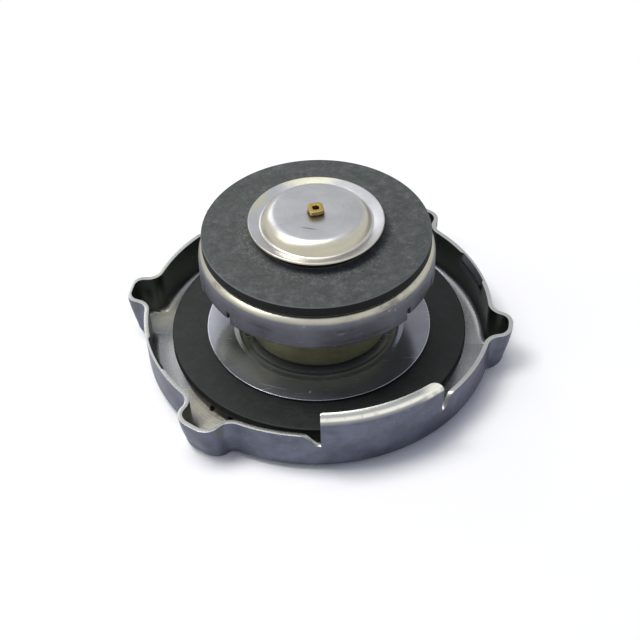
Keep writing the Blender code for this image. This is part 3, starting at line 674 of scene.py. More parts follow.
class Workpiece:
    """A mesh while it is shaped, which starts as a ring round the axis."""

    SMOOTH = math.radians(38.0)
    SHARP = math.radians(50.0)
    NEAR = 0.002
    FILLET_STEPS = 5
    EDGE_STEPS = 3

    def __init__(self, name: str, steps: int, start: Corner) -> None:
        """Add the first ring and open it for editing.

        Args:
            name: The piece's name.
            steps: The ring's points.
            start: The ring's place.
        """
        bpy.ops.object.select_all(action="DESELECT")
        place = (0.0, 0.0, start.height * MM)
        bpy.ops.mesh.primitive_circle_add(vertices=steps, radius=start.radius * MM, location=place)
        self.piece = bpy.context.object
        self.piece.name = name
        self.last = start
        bpy.ops.object.transform_apply()
        bpy.ops.object.mode_set(mode="EDIT")
        bpy.ops.mesh.select_mode(type="EDGE")
        bpy.ops.mesh.select_all(action="SELECT")

    def grow(self, corner: Corner) -> None:
        """Extrude the ring that is selected.

        Args:
            corner: Where the new ring goes.
        """
        widen = corner.radius / self.last.radius
        bpy.ops.mesh.extrude_region_move()
        bpy.ops.transform.resize(value=(widen, widen, 1.0), center_override=CENTRE)
        bpy.ops.transform.translate(value=(0.0, 0.0, (corner.height - self.last.height) * MM))
        self.last = corner

    def pick(self, wanted: Callable[[Vector], bool]) -> None:
        """Select the edges whose two ends are both wanted.

        Args:
            wanted: Tells whether a point is wanted.
        """
        bpy.ops.mesh.select_all(action="DESELECT")
        form = bmesh.from_edit_mesh(self.piece.data)
        kept = {corner for corner in form.verts if wanted(corner.co / MM)}
        for edge in form.edges:
            if kept.issuperset(edge.verts):
                edge.select_set(True)
        bmesh.update_edit_mesh(self.piece.data)

    def pick_rings(self, *corners: Corner) -> None:
        """Select whole rings.

        Args:
            corners: Where the rings are.
        """

        def wanted(point: Vector) -> bool:
            """Tell whether a point is on one of the rings."""
            around = math.hypot(point.x, point.y)
            return any(max(abs(around - at.radius), abs(point.z - at.height)) < self.NEAR for at in corners)

        self.pick(wanted)

    def turn_outward(self) -> None:
        """Point every face outward."""
        bpy.ops.mesh.select_all(action="SELECT")
        bpy.ops.mesh.normals_make_consistent(inside=False)

    def close(self, outline: Sequence[Corner], capped: bool) -> None:
        """Close a solid.

        Args:
            outline: The rings it was grown from.
            capped: Whether a flat face closes each end; else the ends are bridged.
        """
        if capped:
            for end in (outline[0], outline[-1]):
                self.pick_rings(end)
                bpy.ops.mesh.edge_face_add()
        else:
            self.pick_rings(outline[0], outline[-1])
            bpy.ops.mesh.bridge_edge_loops()
        self.turn_outward()

    def round_corners(self, outline: Sequence[Corner], closed: bool) -> None:
        """Bevel each ring that has a fillet.

        Args:
            outline: The rings.
            closed: Whether the last ring leads back to the first.
        """
        for index, corner in enumerate(outline):
            if corner.fillet == 0.0 or (not closed and index in (0, len(outline) - 1)):
                continue
            here = Vector(corner[:2])
            into = here - Vector(outline[index - 1][:2])
            out = Vector(outline[(index + 1) % len(outline)][:2]) - here
            self.pick_rings(corner)
            bpy.ops.mesh.bevel(
                offset=corner.fillet * math.tan(into.angle(out) / 2.0) * MM,
                offset_type="OFFSET",
                segments=self.FILLET_STEPS,
                profile=0.5,
                affect="EDGES",
            )

    def thicken(self, sheet: float, edge: float, weights: str = "") -> None:
        """Give a skin its thickness, on the left of the way it was grown, and soften its edges.

        Args:
            sheet: The thickness; below 0 for the other side.
            edge: How wide its sharp edges are rounded.
            weights: A vertex group that scales the thickness.
        """
        if sheet < 0.0:
            bpy.ops.mesh.select_all(action="SELECT")
            bpy.ops.mesh.flip_normals()
        bpy.ops.object.mode_set(mode="OBJECT")
        solid = self.piece.modifiers.new("Sheet", "SOLIDIFY")
        solid.thickness = abs(sheet) * MM
        solid.offset = -1.0
        solid.use_even_offset = True
        solid.vertex_group = weights
        bevel = self.piece.modifiers.new("Edges", "BEVEL")
        bevel.width = edge * MM
        bevel.segments = self.EDGE_STEPS
        bevel.limit_method = "ANGLE"
        bevel.angle_limit = self.SHARP
        for name in ("Sheet", "Edges"):
            bpy.ops.object.modifier_apply(modifier=name)

    def settle(self, node: str, body: Body, finish: Finish) -> bpy.types.Object:
        """Smooth the piece, dress it, and put it in its CAD node's stead.

        Args:
            node: The CAD node.
            body: The body that the piece rides on.
            finish: Its finish.

        Returns:
            The finished piece.
        """
        if bpy.context.object.mode == "EDIT":
            bpy.ops.object.mode_set(mode="OBJECT")
        bpy.ops.object.shade_smooth_by_angle(angle=self.SMOOTH)
        self.piece.vertex_groups.clear()
        self.piece.data.materials.append(finish.material())
        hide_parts(node)
        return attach(self.piece, body.value)


class Turned(NamedTuple):
    """A piece that is turned on the axis, or pressed round it."""

    name: str
    node: str
    finish: Finish
    outline: Sequence[Corner]
    steps: int = 160
    capped: bool = False
    sheet: float = 0.0
    edge: float = 0.08

    def make(self, body: Body) -> bpy.types.Object:
        """Make the piece.

        Args:
            body: The body that it rides on.

        Returns:
            The finished piece.
        """
        work = Workpiece(self.name, self.steps, self.outline[0])
        for corner in self.outline[1:]:
            work.grow(corner)
        if self.sheet:
            work.round_corners(self.outline, False)
            work.thicken(self.sheet, self.edge)
        else:
            work.close(self.outline, self.capped)
            work.round_corners(self.outline, not self.capped)
        return work.settle(self.node, body, self.finish)


class Column(NamedTuple):
    """One column of a pressed skin: its angle, and the radius and height of each of its points."""

    angle: float
    points: Sequence[Point]


def press(name: str, columns: Sequence[Column], shared: int) -> Workpiece:
    """Draw a tube, with longer columns where they are wanted, and press it.

    Args:
        name: The piece's name.
        columns: The columns, in turn round the axis.
        shared: The rows that every column has.

    Returns:
        The pressed skin.
    """
    tube_radius = 100.0
    count = len(columns)
    work = Workpiece(name, count, Corner(tube_radius, 0.0))

    def address(point: Vector) -> tuple[int, int]:
        """Return the column and the row of a point of the tube, whose first point is on the y axis."""
        return round(math.atan2(-point.x, point.y) / math.tau * count) % count, round(point.z)

    for row in range(1, max(len(column.points) for column in columns)):
        if row >= shared:
            longer = [len(column.points) > row for column in columns]
            work.pick(lambda point: round(point.z) == row - 1 and longer[address(point)[0]])
        bpy.ops.mesh.extrude_region_move()
        bpy.ops.transform.translate(value=(0.0, 0.0, MM))
    form = bmesh.from_edit_mesh(work.piece.data)
    for corner in form.verts:
        number, row = address(corner.co / MM)
        radius, height = columns[number].points[row]
        angle = math.radians(columns[number].angle)
        corner.co = Vector((radius * math.cos(angle), radius * math.sin(angle), height)) * MM
    bmesh.update_edit_mesh(work.piece.data)
    return work


def coil(name: str, foot: float, top: float, coil_radius: float, wire: float, active: float) -> Workpiece:
    """Wind a compression spring with a closed turn at each end.

    Args:
        name: The spring's name.
        foot: Its lowest height.
        top: Its highest.
        coil_radius: From the axis to the middle of the wire.
        wire: The wire's thickness.
        active: The turns between the closed ones.

    Returns:
        The wound wire.
    """
    turn_steps, sides, closed_pitch = 40, 16, 1.06 * wire
    open_pitch = (top - foot - wire - 2.0 * closed_pitch) / active
    start = foot + wire + Workpiece.NEAR
    work = Workpiece(name, sides, Corner(wire / 2.0, 0.0))
    bpy.ops.transform.rotate(value=math.pi / 2.0, orient_axis="X", center_override=CENTRE)
    bpy.ops.transform.translate(value=(coil_radius * MM, 0.0, (foot + wire / 2.0) * MM))
    for number in range(round((active + 2.0) * turn_steps)):
        in_active = 1.0 < (number + 0.5) / turn_steps < active + 1.0
        pitch = open_pitch if in_active else closed_pitch
        bpy.ops.mesh.extrude_region_move()
        bpy.ops.transform.rotate(value=-math.tau / turn_steps, orient_axis="Z", center_override=CENTRE)
        bpy.ops.transform.translate(value=(0.0, 0.0, pitch * MM / turn_steps))
    bpy.ops.mesh.edge_face_add()
    work.pick(lambda point: abs(point.y) < Workpiece.NEAR and point.z < start and point.x > 0.0)
    bpy.ops.mesh.edge_face_add()
    work.turn_outward()
    return work


def even(first: float, last: float, steps: int) -> list[float]:
    """Return even steps from one value to another, with the first left out."""
    return [first + (last - first) * step / steps for step in range(1, steps + 1)]


def arc(steps: int) -> list[Point]:
    """Return the sine and the cosine at even steps of a quarter turn, its start left out."""
    return [(math.sin(angle), math.cos(angle)) for angle in even(0.0, math.pi / 2.0, steps)]


def filled(marks: Iterable[float], widest: float) -> list[float]:
    """Fill the gaps between marks round a circle.

    Args:
        marks: Angles that are kept.
        widest: The widest gap that is left.

    Returns:
        All the angles, in turn.
    """
    turned = sorted(mark % 360.0 for mark in marks)
    angles = []
    for mark, after in zip(turned, turned[1:] + [turned[0] + 360.0]):
        steps = max(1, math.ceil((after - mark) / widest))
        angles += [mark, *even(mark, after, steps)[:-1]]
    return angles


def past(angle: float, middles: Iterable[float]) -> float:
    """Return how far an angle is past the nearest of some middles."""
    return min(((angle - middle + 180.0) % 360.0 - 180.0 for middle in middles), key=abs)


def ease(value: float) -> float:
    """Rise from 0 to 1 as value does, level at both ends."""
    return 0.5 - 0.5 * math.cos(math.pi * min(max(value, 0.0), 1.0))


# Crown


class Lobe(NamedTuple):
    """A finger lobe: its angle, how far it stands out, half its tip's flat and half its foot."""

    angle: float
    height: float
    flat: float = 0.5
    run: float = 5.6

    def profile(self, offset: float) -> float:
        """Return how far it stands out at an offset along the rim.

        Args:
            offset: From the lobe's middle.

        Returns:
            The height, which falls over one round shoulder and one round foot.
        """
        shoulder_share = 0.55
        fall = self.run - self.flat
        steep = 2.0 * math.atan(self.height / fall)
        radii = self.height / (1.0 - math.cos(steep))
        shoulder, foot = shoulder_share * radii, (1.0 - shoulder_share) * radii
        along = abs(offset) - self.flat
        if along <= 0.0:
            return self.height
        if along < shoulder * math.sin(steep):
            return self.height - shoulder + math.sqrt(shoulder**2 - along**2)
        if along < fall:
            return foot - math.sqrt(foot**2 - (fall - along) ** 2)
        return 0.0


@dataclass
class Crown:
    """The pressed shell: sunk panel, lobed wall, two bayonet lugs and two coined stops in one sheet."""

    radius: float = 33.0
    height: float = 9.0
    lean: float = 0.3
    corner: float = 2.4
    sheet: float = 0.8
    edge: float = 0.2
    panel_radii: tuple[float, ...] = (2.65, 8.0, 16.0, 24.6)
    panel_depth: float = 2.5
    panel_step: float = 2.4
    lobes: tuple[Lobe, ...] = (
        Lobe(350.8, 3.73),
        Lobe(51.6, 3.9),
        Lobe(168.6, 4.11, 0.9),
        Lobe(232.1, 4.9, 1.0, 6.5),
    )
    lobe_columns: float = 0.4
    lobe_fade: float = 0.28
    lugs: tuple[float, ...] = (110.0, 290.0)
    lug_span: float = 20.25
    lug_knee: float = 12.0
    lug_step: float = 0.8
    lug_bend: float = 2.2
    lug_turn: float = 75.0
    lug_corner: float = 2.2
    lug_square: float = 0.45
    lug_insets: tuple[float, ...] = (0.0, 0.06, 0.2, 0.45, 0.8, 1.2, 1.7, 2.2)
    notch_depth: float = 2.0
    notch_floor: float = 0.9
    notch_reach: float = 6.0
    stops: tuple[float, ...] = (20.0, 200.0)
    stop_span: float = 7.5
    stop_end: float = 1.2
    stop_edge: float = 0.42
    stop_ledge: float = 1.2
    stop_drop: float = 1.5
    stop_foot: float = 2.8
    rim_rows: tuple[float, ...] = (5.4, 4.0, 2.8, 2.2, 1.8, 1.5, 1.1, 0.7, 0.35, 0.0)
    column_gap: float = 1.0

    def wall(self, angle: float, height: float) -> float:
        """Return the wall's outside radius.

        Args:
            angle: Where on the wall.
            height: How high on it.

        Returns:
            The radius.
        """
        lobe = min(self.lobes, key=lambda lobe: abs(past(angle, (lobe.angle,))))
        swell = lobe.profile(math.radians(past(angle, (lobe.angle,))) * self.radius)
        drop = min(max((self.height - height) / (self.height - self.corner), 0.0), 1.0)
        in_lug = 1.0 - ease((abs(past(angle, self.lugs)) - self.lug_span) / self.notch_reach)
        plain = self.radius - self.lean * drop + swell * (1.0 - self.lobe_fade * drop**1.5)
        return plain + self.lug_step * in_lug * (1.0 - drop)

    def rim(self, angle: float) -> float:
        """Return the rim's height, which dips beside each lug and is level under it."""
        beyond = abs(past(angle, self.lugs)) - self.lug_span - self.notch_floor
        return self.height - self.notch_depth * (1.0 - ease(beyond / (self.notch_reach - self.notch_floor)))

    def lug_points(self, angle: float) -> list[Point]:
        """Return the points on a lug's outer face, from the notch's level to its edge.

        Args:
            angle: Where on the lug.

        Returns:
            The points, closer together at the lug's rounded corners.
        """
        rise_rows, bend_rows = 6, 10
        foot = self.height - self.notch_depth
        rise = self.lug_knee - foot
        full = rise + self.lug_bend * math.radians(self.lug_turn)
        share = 1.0
        for side, corner in ((1.0, self.lug_corner), (-1.0, self.lug_square)):
            inside = math.radians(max(self.lug_span - side * past(angle, self.lugs), 0.0)) * self.radius
            if inside < corner:
                share = 1.0 - (corner - math.sqrt(corner**2 - (corner - inside) ** 2)) / full
                break
        start, top = self.wall(angle, foot), self.wall(angle, self.height)
        points = []
        for mark in even(0.0, rise, rise_rows) + even(rise, full, bend_rows):
            length = mark * share
            if length <= rise:
                points.append((start + (top - start) * length / rise, foot + length))
            else:
                turn = (length - rise) / self.lug_bend
                inset = self.lug_bend * (1.0 - math.cos(turn))
                points.append((top - inset, self.lug_knee + self.lug_bend * math.sin(turn)))
        return points

    def wall_points(self, angle: float) -> list[Point]:
        """Return the points of the outer face, from the rivet's hole to the rim.

        Args:
            angle: Where on the face.

        Returns:
            The points.
        """
        slope_rows, corner_rows = 6, 7
        points = [(radius, self.panel_depth) for radius in self.panel_radii]
        for share in even(0.0, 1.0, slope_rows):
            radius = self.panel_radii[-1] + self.panel_step * share
            points.append((radius, self.panel_depth * (1.0 - ease(share))))
        foot = self.wall(angle, self.corner) - self.corner
        points.append((foot, 0.0))
        for sine, cosine in arc(corner_rows):
            points.append((foot + self.corner * sine, self.corner * (1.0 - cosine)))
        for below in self.rim_rows:
            share = 1.0 - below / (self.height - self.corner)
            height = self.corner + (self.rim(angle) - self.corner) * share
            points.append((self.wall(angle, height), height))
        return points

    def angles(self) -> list[float]:
        """Return the columns' angles.

        Returns:
            The angles, with one at each edge of a lug, a stop and a lobe.
        """
        square_insets = 5
        corner = [math.degrees(inset / self.radius) for inset in self.lug_insets]
        offsets = [self.lug_span - inset for inset in corner]
        offsets += [inset - self.lug_span for inset in corner[:square_insets]]
        reach = self.lug_span + self.notch_floor
        marks = [lug + offset for lug in self.lugs for offset in (*offsets, reach, -reach)]
        for stop in self.stops:
            for share in (0.0, 0.5, 1.0):
                end = self.stop_span + self.stop_end * share
                marks += [stop - end, stop + end]
        for lobe in self.lobes:
            half = math.degrees(lobe.run / self.radius)
            steps = round(half / self.lobe_columns)
            marks += [lobe.angle + half * step / steps for step in range(-steps, steps + 1)]
        return filled(marks, self.column_gap)

    def sheet_at(self, angle: float, below: float) -> float:
        """Return the sheet's thickness, which the coined stops change.

        Args:
            angle: Where on the wall.
            below: How far under the rim.

        Returns:
            The thickness.
        """
        inside = 1.0 - ease((abs(past(angle, self.stops)) - self.stop_span) / self.stop_end)
        if below < self.stop_drop:
            coined = self.stop_edge + (self.stop_ledge - self.stop_edge) * below / self.stop_drop
        else:
            fall = ease((below - self.stop_drop) / (self.stop_foot - self.stop_drop))
            coined = self.stop_ledge + (self.sheet - self.stop_ledge) * fall
        return self.sheet + (coined - self.sheet) * inside

    def weigh(self, work: Workpiece) -> str:
        """Put the sheet's thickness into a vertex group.

        Args:
            work: The pressed skin.

        Returns:
            The group's name.
        """
        bpy.ops.object.mode_set(mode="OBJECT")
        group = work.piece.vertex_groups.new(name="sheet")
        group.add(range(len(work.piece.data.vertices)), self.sheet / self.stop_ledge, "REPLACE")
        for corner in work.piece.data.vertices:
            angle = math.degrees(math.atan2(corner.co.y, corner.co.x)) % 360.0
            below = self.rim(angle) - corner.co.z / MM
            if abs(past(angle, self.stops)) < self.stop_span + self.stop_end and below < self.stop_foot:
                group.add([corner.index], self.sheet_at(angle, max(below, 0.0)) / self.stop_ledge, "REPLACE")
        bpy.ops.object.mode_set(mode="EDIT")
        return group.name

    def build(self) -> list[bpy.types.Object]:
        """Press the shell.

        Returns:
            The shell.
        """
        columns = []
        for angle in self.angles():
            points = self.wall_points(angle)
            shared = len(points)
            if abs(past(angle, self.lugs)) < self.lug_span + ANGLE_SLACK:
                points += self.lug_points(angle)
            columns.append(Column(angle, points))
        work = press("crown_pressing", columns, shared)
        work.thicken(self.stop_ledge, self.edge, self.weigh(work))
        return [work.settle("crown_shell", Body.CROWN, CROWN_STEEL)]


# Pieces that swivel on the crown


@dataclass
class Diaphragm:
    """The gasket, the spacer in its bore, and the spring disc that clamps it."""

    hole: float = 2.65
    foot: float = 3.55
    thickness: float = 1.8
    gasket_radius: float = 27.9
    gasket_bore: float = 9.5
    spacer_radius: float = 9.0
    disc_foot: float = 5.60
    disc_sheet: float = 0.35
    disc_radius: float = 21.2
    ridge_radius: float = 15.2
    ridge_half: float = 0.9
    ridge_height: float = 0.25

    def build(self) -> list[bpy.types.Object]:
        """Make the three pieces.

        Returns:
            The pieces.
        """
        heights = (self.foot, self.foot + self.thickness)
        gasket = ring(self.gasket_bore, self.gasket_radius, *heights, (0.15, 0.3, 0.3))
        spacer = ring(self.hole, self.spacer_radius, *heights, (0.1, 0.12, 0.12))
        disc = (
            Corner(self.hole, self.disc_foot),
            Corner(self.ridge_radius - self.ridge_half, self.disc_foot, 0.8),
            Corner(self.ridge_radius, self.disc_foot + self.ridge_height, 0.9),
            Corner(self.ridge_radius + self.ridge_half, self.disc_foot, 0.8),
            Corner(self.disc_radius, self.disc_foot),
        )
        pieces = (
            Turned("neck_gasket", "upper_gasket", GASKET_RUBBER, gasket),
            Turned("spacer_ring", "spacer_washer", PLAIN_ZINC, spacer, steps=96),
            Turned("diaphragm", "spring_disc", DISC_STEEL, disc, sheet=self.disc_sheet, edge=0.09),
        )
        return [piece.make(Body.CARRIER) for piece in pieces]


@dataclass
class Bell:
    """The bell housing with its rivet and washer, and the pressure valve's spring."""

    hole: float = 2.65
    foot: float = 6.20
    sheet: float = 0.8
    radius: float = 13.2
    foot_fillet: float = 1.3
    rim_height: float = 20.9
    rim_radius: float = 20.0
    rim_fillet: float = 2.0
    washer_radius: float = 5.6
    washer_foot: float = 7.25
    washer_top: float = 8.0
    head_foot: float = 1.15
    head_top: float = 2.25
    head_radius: float = 4.4
    shank_radius: float = 2.4
    formed_foot: float = 8.25
    formed_top: float = 9.45
    formed_radius: float = 4.0
    crowning: float = 0.7
    spring_top: float = 25.0
    spring_radius: float = 10.9
    wire: float = 2.0
    turns: float = 4.0
    travel: float = 3.3

    def turned(self) -> tuple[Turned, Turned, Turned]:
        """Return the bell, the washer under the rivet's formed head, and the rivet.

        Returns:
            The three pieces; the rivet's other head is in the crown's panel.
        """
        bell = (
            Corner(self.hole, self.foot),
            Corner(self.radius, self.foot, self.foot_fillet),
            Corner(self.radius, self.rim_height, self.rim_fillet),
            Corner(self.rim_radius, self.rim_height),
        )
        washer = ring(self.hole, self.washer_radius, self.washer_foot, self.washer_top, (0.08, 0.12, 0.2))
        rivet = (
            Corner(0.6 * self.head_radius, self.head_foot),
            Corner(self.head_radius, self.head_foot, self.crowning),
            Corner(self.head_radius, self.head_top, 0.1),
            Corner(self.shank_radius, self.head_top, 0.1),
            Corner(self.shank_radius, self.formed_foot, 0.1),
            Corner(self.formed_radius, self.formed_foot, 0.15),
            Corner(self.formed_radius, self.formed_top, self.crowning),
            Corner(0.5 * self.formed_radius, self.formed_top),
        )
        return (
            Turned("bell", "bell_housing", YELLOW_ZINC, bell, sheet=self.sheet, edge=0.2),
            Turned("rivet_ring", "rivet_washer", PLAIN_ZINC, washer, steps=96),
            Turned("rivet", "centre_rivet", PLAIN_ZINC, rivet, steps=72, capped=True),
        )

    def spring(self) -> bpy.types.Object:
        """Wind the pressure valve's spring, which shortens as the valve opens.

        Returns:
            The spring.
        """
        foot = self.washer_foot
        work = coil("pressure_spring", foot, self.spring_top, self.spring_radius, self.wire, self.turns)
        piece = work.settle("main_spring", Body.CARRIER, SPRING_STEEL)
        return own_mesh(piece)

    def build(self) -> list[bpy.types.Object]:
        """Make the four pieces."""
        return [piece.make(Body.CARRIER) for piece in self.turned()] + [self.spring()]


# Valves


@dataclass
class PressureValve:
    """The plate with its skirt and tabs, its rubber, and the guide that clamps them."""

    hole: float = 6.45
    radius: float = 21.7
    top: float = 25.95
    sheet: float = 0.7
    edge: float = 0.15
    flat_radii: tuple[float, ...] = (6.45, 11.0, 16.0)
    shoulder: float = 2.0
    skirt_edge: float = 19.5
    slit_top: float = 21.85
    tabs: tuple[float, ...] = (90.0, 210.0, 330.0)
    tab_span: float = 11.0
    slit: float = 2.2
    knee: float = 19.95
    fold: float = 0.9
    tab_reach: float = 2.8
    tab_drop: float = 0.2
    rubber_foot: float = 26.20
    rubber_top: float = 28.50
    rubber_radius: float = 21.0
    lip_radius: float = 10.1
    lip_half: float = 0.7
    lip_top: float = 29.55
    guide_radius: float = 6.2
    guide_bore: float = 5.5
    guide_flange: float = 8.1
    guide_top: float = 29.35
    guide_flange_foot: float = 28.75
    bead_radius: float = 7.1
    bead_top: float = 25.0
    guide_foot: float = 24.0
    guide_floor: float = 24.6
    stem_hole: float = 1.4
    vents: int = 4
    vent_radius: float = 1.0
    vent_circle: float = 3.7
    vent_drill: float = 3.0
    light_foot: float = 15.85
    light_top: float = 23.75
    light_radius: float = 2.7
    light_wire: float = 0.45
    light_turns: float = 5.0
    light_travel: float = 2.0
    column_gap: float = 2.0

    def plate_points(self) -> list[Point]:
        """Return the points that every column of the plate has.

        Returns:
            The points, from the hole to the slits' top.
        """
        shoulder_rows, skirt_rows = 7, 4
        flat, low = self.radius - self.shoulder, self.top - self.shoulder
        points = [(radius, self.top) for radius in (*self.flat_radii, flat)]
        for sine, cosine in arc(shoulder_rows):
            points.append((flat + self.shoulder * sine, self.top - self.shoulder * (1.0 - cosine)))
        return points + [(self.radius, height) for height in even(low, self.slit_top, skirt_rows)]

    def edge_points(self, in_tab: bool) -> list[Point]:
        """Return the points of a column below the slits' top.

        Args:
            in_tab: Whether it bends in under the bell's rim, and doesn't just go down the skirt.

        Returns:
            The points.
        """
        down_rows, fold_rows, in_rows = 2, 5, 2
        if not in_tab:
            rows = down_rows + fold_rows + in_rows
            return [(self.radius, height) for height in even(self.slit_top, self.skirt_edge, rows)]
        start, inner = self.knee + self.fold, self.radius - self.fold
        points = [(self.radius, height) for height in even(self.slit_top, start, down_rows)]
        for sine, cosine in arc(fold_rows):
            points.append((self.radius - self.fold * (1.0 - cosine), start - self.fold * sine))
        radii = even(inner, self.radius - self.tab_reach, in_rows)
        return points + list(zip(radii, even(self.knee, self.knee - self.tab_drop, in_rows)))

    def plate(self) -> bpy.types.Object:
        """Press the plate, slit its skirt and bend the tabs in.

        Returns:
            The plate.
        """
        start, end = self.tab_span, self.tab_span + self.slit
        marks = [tab + offset for tab in self.tabs for offset in (-start, -end, start, end)]
        shared = self.plate_points()
        columns = []
        for angle in filled(marks, self.column_gap):
            offset = abs(past(angle, self.tabs))
            in_tab, in_skirt = offset < start + ANGLE_SLACK, offset > end - ANGLE_SLACK
            columns.append(Column(angle, shared + (self.edge_points(in_tab) if in_tab or in_skirt else [])))
        work = press("valve_plate", columns, len(shared))
        work.thicken(-self.sheet, self.edge)
        return work.settle("valve_cup", Body.PRESSURE, CUP_STEEL)

    def rubber(self) -> bpy.types.Object:
        """Make the rubber, with the raised seat of the vacuum valve.

        Returns:
            The rubber.
        """
        lip_in, lip_out = self.lip_radius - self.lip_half, self.lip_radius + self.lip_half
        outline = (
            Corner(self.hole, self.rubber_foot, 0.1),
            Corner(self.rubber_radius, self.rubber_foot, 0.3),
            Corner(self.rubber_radius, self.rubber_top, 0.3),
            Corner(lip_out, self.rubber_top, 0.2),
            Corner(lip_out, self.lip_top, 0.3),
            Corner(lip_in, self.lip_top, 0.3),
            Corner(lip_in, self.rubber_top, 0.2),
            Corner(self.hole, self.rubber_top, 0.1),
        )
        return Turned("valve_rubber", "valve_seal", SEAL_RUBBER, outline).make(Body.PRESSURE)

    def guide(self) -> bpy.types.Object:
        """Make the stem's guide, and drill its vents.

        Returns:
            The guide.
        """
        outline = (
            Corner(self.guide_flange, self.guide_top, 0.15),
            Corner(self.guide_flange, self.guide_flange_foot, 0.15),
            Corner(self.guide_radius, self.guide_flange_foot, 0.1),
            Corner(self.guide_radius, self.bead_top, 0.1),
            Corner(self.bead_radius, self.bead_top, 0.2),
            Corner(self.bead_radius, self.guide_foot, 0.4),
            Corner(self.stem_hole, self.guide_foot, 0.05),
            Corner(self.stem_hole, self.guide_floor, 0.05),
            Corner(self.guide_bore, self.guide_floor, 0.3),
            Corner(self.guide_bore, self.guide_top, 0.3),
        )
        guide = Turned("stem_eyelet", "stem_guide", PLAIN_ZINC, outline, steps=96).make(Body.PRESSURE)
        for number in range(self.vents):
            turn = math.tau * number / self.vents
            across = (self.vent_circle * math.cos(turn), self.vent_circle * math.sin(turn))
            bpy.ops.mesh.primitive_cylinder_add(
                vertices=32,
                radius=self.vent_radius * MM,
                depth=self.vent_drill * MM,
                location=Vector((*across, self.guide_foot)) * MM,
            )
            drill = bpy.context.object
            vent = guide.modifiers.new("Vent", "BOOLEAN")
            vent.operation = "DIFFERENCE"
            vent.object = drill
            bpy.context.view_layer.objects.active = guide
            bpy.ops.object.modifier_apply(modifier=vent.name)
            bpy.data.objects.remove(drill, do_unlink=True)
        return guide

    def light_spring(self) -> bpy.types.Object:
        """Wind the light spring, which shortens as the vacuum valve opens.

        Returns:
            The spring.
        """
        foot, top = self.light_foot, self.light_top
        work = coil("light_spring", foot, top, self.light_radius, self.light_wire, self.light_turns)
        piece = work.settle("vacuum_spring", Body.PRESSURE, SPRING_STEEL)
        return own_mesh(piece)

    def build(self) -> list[bpy.types.Object]:
        """Make the four pieces."""
        return [self.plate(), self.rubber(), self.guide(), self.light_spring()]


@dataclass
class VacuumValve:
    """The domed disc on its hollow stem, and the washer at the stem's inner end."""

    hole: float = 1.4
    dome_top: float = 32.70
    dome_top_radius: float = 8.9
    dome_top_fillet: float = 2.2
    dome_foot: float = 30.25
    dome_foot_radius: float = 10.1
    dome_foot_fillet: float = 0.5
    flange_radius: float = 12.3
    flange_top: float = 31.05
    sheet: float = 0.45
    stem_radius: float = 1.15
    head_foot: float = 32.95
    head_top: float = 33.70
    head_radius: float = 1.55
    bore_radius: float = 0.65
    bore_foot: float = 30.70
    shoulder_radius: float = 2.5
    shoulder_top: float = 32.0
    shoulder_foot: float = 31.2
    foot_radius: float = 1.75
    foot_top: float = 14.75
    foot: float = 13.95
    chamfer: float = 0.16
    peened: float = 0.9
    peen_turn: float = 12.0
    washer_radius: float = 3.7
    washer_foot: float = 15.0
    washer_top: float = 15.6

    def dome(self) -> Turned:
        """Return the dome with its dished flange."""
        outline = (
            Corner(self.hole, self.dome_top),
            Corner(self.dome_top_radius, self.dome_top, self.dome_top_fillet),
            Corner(self.dome_foot_radius, self.dome_foot, self.dome_foot_fillet),
            Corner(self.flange_radius, self.flange_top),
        )
        return Turned("vacuum_dome", "vacuum_disc", STAINLESS, outline, sheet=-self.sheet, edge=0.12)

    def stem(self) -> Turned:
        """Return the stem: bore, head on the dome, shoulder under it, shaft and peened foot."""
        outline = (
            Corner(0.5 * self.bore_radius, self.bore_foot),
            Corner(self.bore_radius, self.bore_foot, 0.1),
            Corner(self.bore_radius, self.head_top, 0.15),
            Corner(self.head_radius, self.head_top, self.chamfer),
            Corner(self.head_radius, self.head_foot, 0.1),
            Corner(self.stem_radius, self.head_foot, 0.05),
            Corner(self.stem_radius, self.shoulder_top, 0.05),
            Corner(self.shoulder_radius, self.shoulder_top, 0.1),
            Corner(self.shoulder_radius, self.shoulder_foot, 0.1),
            Corner(self.stem_radius, self.shoulder_foot, 0.05),
            Corner(self.stem_radius, self.foot_top, 0.05),
            Corner(self.foot_radius, self.foot_top, 0.1),
            Corner(self.foot_radius, self.foot, self.chamfer),
            Corner(0.5 * self.foot_radius, self.foot),
        )
        return Turned("hollow_stem", "vacuum_stem", BRASS, outline, steps=64, capped=True)

    def washer(self) -> Turned:
        """Return the washer that holds the light spring."""
        outline = ring(self.hole, self.washer_radius, self.washer_foot, self.washer_top, (0.05, 0.1, 0.15))
        return Turned("stem_washer", "vacuum_retainer", PLAIN_ZINC, outline, steps=64)

    def peen(self, stem: bpy.types.Object) -> None:
        """Square the stem's head and the mouth of its bore, as the peening punch left them.

        Args:
            stem: The turned stem.
        """
        for corner in stem.data.vertices:
            if corner.co.z > self.head_foot * MM:
                angle = math.atan2(corner.co.y, corner.co.x) - math.radians(self.peen_turn)
                corner.co.xy *= self.peened / (math.cos(angle) ** 4 + math.sin(angle) ** 4) ** 0.25

    def build(self) -> list[bpy.types.Object]:
        """Make the three pieces.

        Returns:
            The pieces.
        """
        pieces = [turned.make(Body.VACUUM) for turned in (self.dome(), self.stem(), self.washer())]
        self.peen(pieces[1])
        return pieces


# Studio


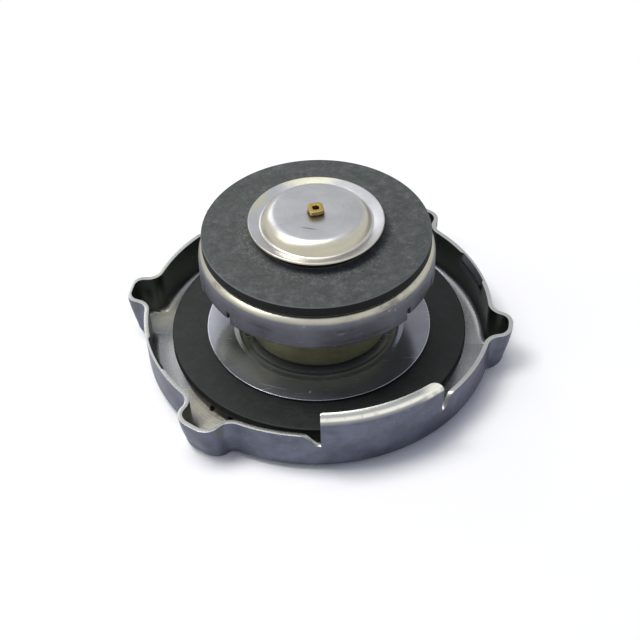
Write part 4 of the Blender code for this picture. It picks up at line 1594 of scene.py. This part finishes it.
class Lamp(NamedTuple):
    """One soft area lamp that points at the cap."""

    name: str
    place: Triple
    size: float
    radiance: float
    colour: Colour = (1.0, 1.0, 1.0)

    def light(self) -> None:
        """Hang the lamp, with the power that gives its radiance."""
        bpy.ops.object.light_add(type="AREA", location=self.place)
        lamp = bpy.context.object
        lamp.name = self.name
        lamp.data.size = self.size
        lamp.data.energy = self.radiance * math.pi * self.size**2
        lamp.data.color = self.colour
        lamp.rotation_mode = "QUATERNION"
        lamp.rotation_quaternion = Vector(self.place).to_track_quat("Z", "Y")


@dataclass
class Studio:
    """Floor, background, lamps and camera."""

    floor_size: float = 3.0
    aim: Triple = (0.245 * MM, 0.0, 6.148 * MM)
    distance: float = 304.95 * MM
    elevation: float = math.radians(42.87)
    roll: float = math.radians(-1.46)
    lens: float = 90.0
    sensor: float = 36.0
    ambient: Colour = (0.23, 0.25, 0.33)
    lamps: tuple[Lamp, ...] = (
        Lamp("softbox_left", (-0.25, 0.01, 0.60), 0.26, 13.4, (1.0, 0.985, 0.955)),
        Lamp("softbox_top", (0.0, 0.08, 0.66), 0.22, 5.0, (1.0, 0.98, 0.88)),
        Lamp("softbox_side", (-0.44, -0.10, 0.42), 0.30, 1.6, (1.0, 0.98, 0.88)),
        Lamp("softbox_back", (-0.36, 0.60, 0.43), 0.36, 1.9, (1.0, 0.99, 0.94)),
    )

    def build(self) -> None:
        """Set the stage."""
        self.lay_floor()
        self.fill_background()
        for lamp in self.lamps:
            lamp.light()
        self.place_camera()
        bpy.context.scene.view_settings.view_transform = "Standard"

    def lay_floor(self) -> None:
        """Lay the pale floor."""
        bpy.ops.mesh.primitive_plane_add(size=self.floor_size)
        floor = bpy.context.object
        floor.name = "floor"
        floor.data.materials.append(FLOOR.material())

    def fill_background(self) -> None:
        """Make the world plain, and white where it is seen, also in metal."""
        world = bpy.data.worlds.new("studio")
        bpy.context.scene.world = world
        nodes = Nodes(world)
        colour = nodes.mix(nodes.seen(), self.ambient, (1.0, 1.0, 1.0))
        nodes.finish("ShaderNodeOutputWorld", nodes.node("ShaderNodeBackground", inputs={"Color": colour}))

    def place_camera(self) -> None:
        """Put the camera at the photograph's angle."""
        ahead = Vector((0.0, math.cos(self.elevation), -math.sin(self.elevation)))
        right = Vector((1.0, 0.0, 0.0))
        over = right.cross(ahead)
        turn, tip = math.cos(self.roll), math.sin(self.roll)
        right, over = right * turn + over * tip, over * turn - right * tip
        place = Vector(self.aim) - ahead * self.distance
        data = bpy.data.cameras.new("camera")
        data.lens = self.lens
        data.sensor_width = self.sensor
        data.clip_start = 0.01
        camera = bpy.data.objects.new("camera", data)
        bpy.context.collection.objects.link(camera)
        camera.matrix_world = Matrix.Translation(place) @ Matrix((right, over, -ahead)).transposed().to_4x4()
        bpy.context.scene.camera = camera


def main() -> None:
    """Build the stage and the cap."""
    logging.basicConfig(level=logging.INFO, format="%(name)s: %(message)s")
    Studio().build()
    for assembly in (Crown(), Diaphragm(), Bell(), PressureValve(), VacuumValve()):
        for piece in assembly.build():
            faces = len(piece.data.polygons)
            LOG.info("%s: %s, %d faces", type(assembly).__name__, piece.name, faces)


if __name__ == "__main__":
    main()
